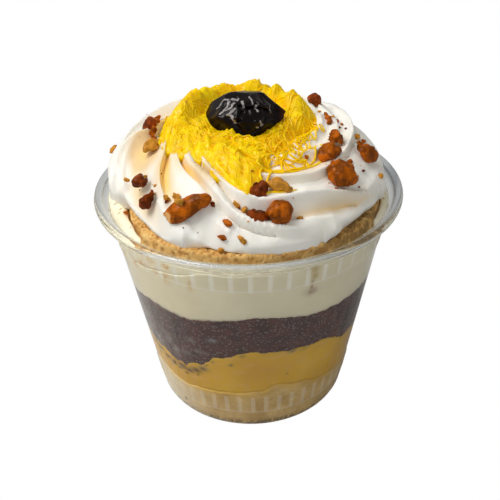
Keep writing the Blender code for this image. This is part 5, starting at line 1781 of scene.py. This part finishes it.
class CakeJarNuts(bpy.types.PropertyGroup):
    """Nut pieces and crumbs."""
    nut_roughness: share_of("Roughness", "Strength of the broken surface", 1.0)
    amber: colour_of("Amber nut", "Caramel brown nut", (192, 97, 6))
    golden: colour_of("Golden nut", "Golden nut", (220, 152, 54))
    toasted: colour_of("Dark nut", "Dark toasted nut", (146, 62, 6))
    cut_nut: colour_of("Cut end", "Flat cut end of the stick", (236, 176, 104))
    pale_nut: colour_of("Pale nut", "Pale specks on the nuts", (226, 160, 84))


class CakeJarStage(bpy.types.PropertyGroup):
    """Floor, lamps and camera."""
    floor_colour: colour_of("Floor", "Pale floor as the object is lit by it", (205, 205, 205))
    key_azimuth: angle_of("Key side", "Where the main lamp stands, round from +X", 190.0)
    key_elevation: angle_of("Key height", "Main lamp's angle above the floor", 58.0)
    key_power: power_of("Key power", "Power of the main lamp", 4.8)
    fill_power: power_of("Fill power", "Power of the second lamp", 0.8)
    world_strength: share_of("Surrounding light", "Strength of the light from all round", 0.45)
    sky_left: colour_of("Sky, left", "Light from the left side", (255, 255, 253))
    sky_right: colour_of("Sky, right", "Light from the right side", (212, 212, 206))


# Operators


class CAKEJAR_OT_cup(bpy.types.Operator):
    """Makes the clear cup with its rim and ribs"""
    bl_idname = "cakejar.cup"
    bl_label = "Clear cup"

    def execute(self, context):
        build_cup(context.scene.cakejar_cup)
        return {"FINISHED"}


class CAKEJAR_OT_layers(bpy.types.Operator):
    """Makes the pale cake, custard, dark cake and cream that show through the cup"""
    bl_idname = "cakejar.layers"
    bl_label = "Layers in the cup"

    def execute(self, context):
        settings = context.scene.cakejar_layers
        for build in (build_base_cake, build_custard, build_dark_cake, build_cream_layer):
            build(settings)
        return {"FINISHED"}


class CAKEJAR_OT_top_cake(bpy.types.Operator):
    """Makes the golden cake under the swirl"""
    bl_idname = "cakejar.top_cake"
    bl_label = "Top cake"

    def execute(self, context):
        build_top_cake(context.scene.cakejar_layers)
        return {"FINISHED"}


class CAKEJAR_OT_collar(bpy.types.Operator):
    """Makes the smooth edge between the top cake and the wall"""
    bl_idname = "cakejar.collar"
    bl_label = "Collar"

    def execute(self, context):
        build_collar(context.scene.cakejar_layers)
        return {"FINISHED"}


class CAKEJAR_OT_swirl(bpy.types.Operator):
    """Makes the piped swirl of cream"""
    bl_idname = "cakejar.swirl"
    bl_label = "Piped swirl"

    def execute(self, context):
        build_swirl(context.scene.cakejar_swirl)
        return {"FINISHED"}


class CAKEJAR_OT_nest(bpy.types.Operator):
    """Makes the nest of egg threads on the swirl"""
    bl_idname = "cakejar.nest"
    bl_label = "Egg threads"

    def execute(self, context):
        build_nest(context.scene.cakejar_nest, bpy.data.objects["piped_swirl"])
        return {"FINISHED"}


class CAKEJAR_OT_fruit(bpy.types.Operator):
    """Makes the glazed fruit in the nest"""
    bl_idname = "cakejar.fruit"
    bl_label = "Glazed fruit"

    def execute(self, context):
        build_fruit(context.scene.cakejar_fruit)
        return {"FINISHED"}


class CAKEJAR_OT_nuts(bpy.types.Operator):
    """Makes the toasted nut pieces on the swirl"""
    bl_idname = "cakejar.nuts"
    bl_label = "Nut pieces"

    def execute(self, context):
        build_nuts(context.scene.cakejar_nuts, bpy.data.objects["piped_swirl"])
        return {"FINISHED"}


class CAKEJAR_OT_crumbs(bpy.types.Operator):
    """Makes the crumbs scattered on the swirl"""
    bl_idname = "cakejar.crumbs"
    bl_label = "Crumbs"

    def execute(self, context):
        build_crumbs(context.scene.cakejar_nuts, bpy.data.objects["piped_swirl"])
        return {"FINISHED"}


class CAKEJAR_OT_stage(bpy.types.Operator):
    """Makes the floor, the lamps and the camera"""
    bl_idname = "cakejar.stage"
    bl_label = "Floor, lamps and camera"

    def execute(self, context):
        build_stage(context.scene.cakejar_stage)
        return {"FINISHED"}


SETTINGS = {
    "cakejar_cup": CakeJarCup,
    "cakejar_layers": CakeJarLayers,
    "cakejar_swirl": CakeJarSwirl,
    "cakejar_nest": CakeJarNest,
    "cakejar_fruit": CakeJarFruit,
    "cakejar_nuts": CakeJarNuts,
    "cakejar_stage": CakeJarStage,
}
OPERATORS = (CAKEJAR_OT_cup, CAKEJAR_OT_layers, CAKEJAR_OT_top_cake, CAKEJAR_OT_collar,
             CAKEJAR_OT_swirl, CAKEJAR_OT_nest, CAKEJAR_OT_fruit, CAKEJAR_OT_nuts,
             CAKEJAR_OT_crumbs, CAKEJAR_OT_stage)


class CAKEJAR_PT_pieces(bpy.types.Panel):
    """Lists the dessert's settings and the operators that build it"""
    bl_idname = "CAKEJAR_PT_pieces"
    bl_label = "Cake jar"
    bl_space_type = "VIEW_3D"
    bl_region_type = "UI"
    bl_category = "Cake jar"

    def draw(self, context):
        for operator in OPERATORS:
            self.layout.operator(operator.bl_idname)
        for name, group in SETTINGS.items():
            box = self.layout.box()
            box.label(text=group.__doc__)
            for setting in group.__annotations__:
                box.prop(getattr(context.scene, name), setting)


def register():
    for group in SETTINGS.values():
        bpy.utils.register_class(group)
    for operator in OPERATORS:
        bpy.utils.register_class(operator)
    bpy.utils.register_class(CAKEJAR_PT_pieces)
    for name, group in SETTINGS.items():
        setattr(bpy.types.Scene, name, PointerProperty(type=group))


def unregister():
    for name in SETTINGS:
        delattr(bpy.types.Scene, name)
    bpy.utils.unregister_class(CAKEJAR_PT_pieces)
    for made in (*reversed(OPERATORS), *reversed(SETTINGS.values())):
        bpy.utils.unregister_class(made)


def main():
    register()
    for operator in OPERATORS:
        section, action = operator.bl_idname.split(".")
        getattr(getattr(bpy.ops, section), action)()


if __name__ == "__main__":
    main()
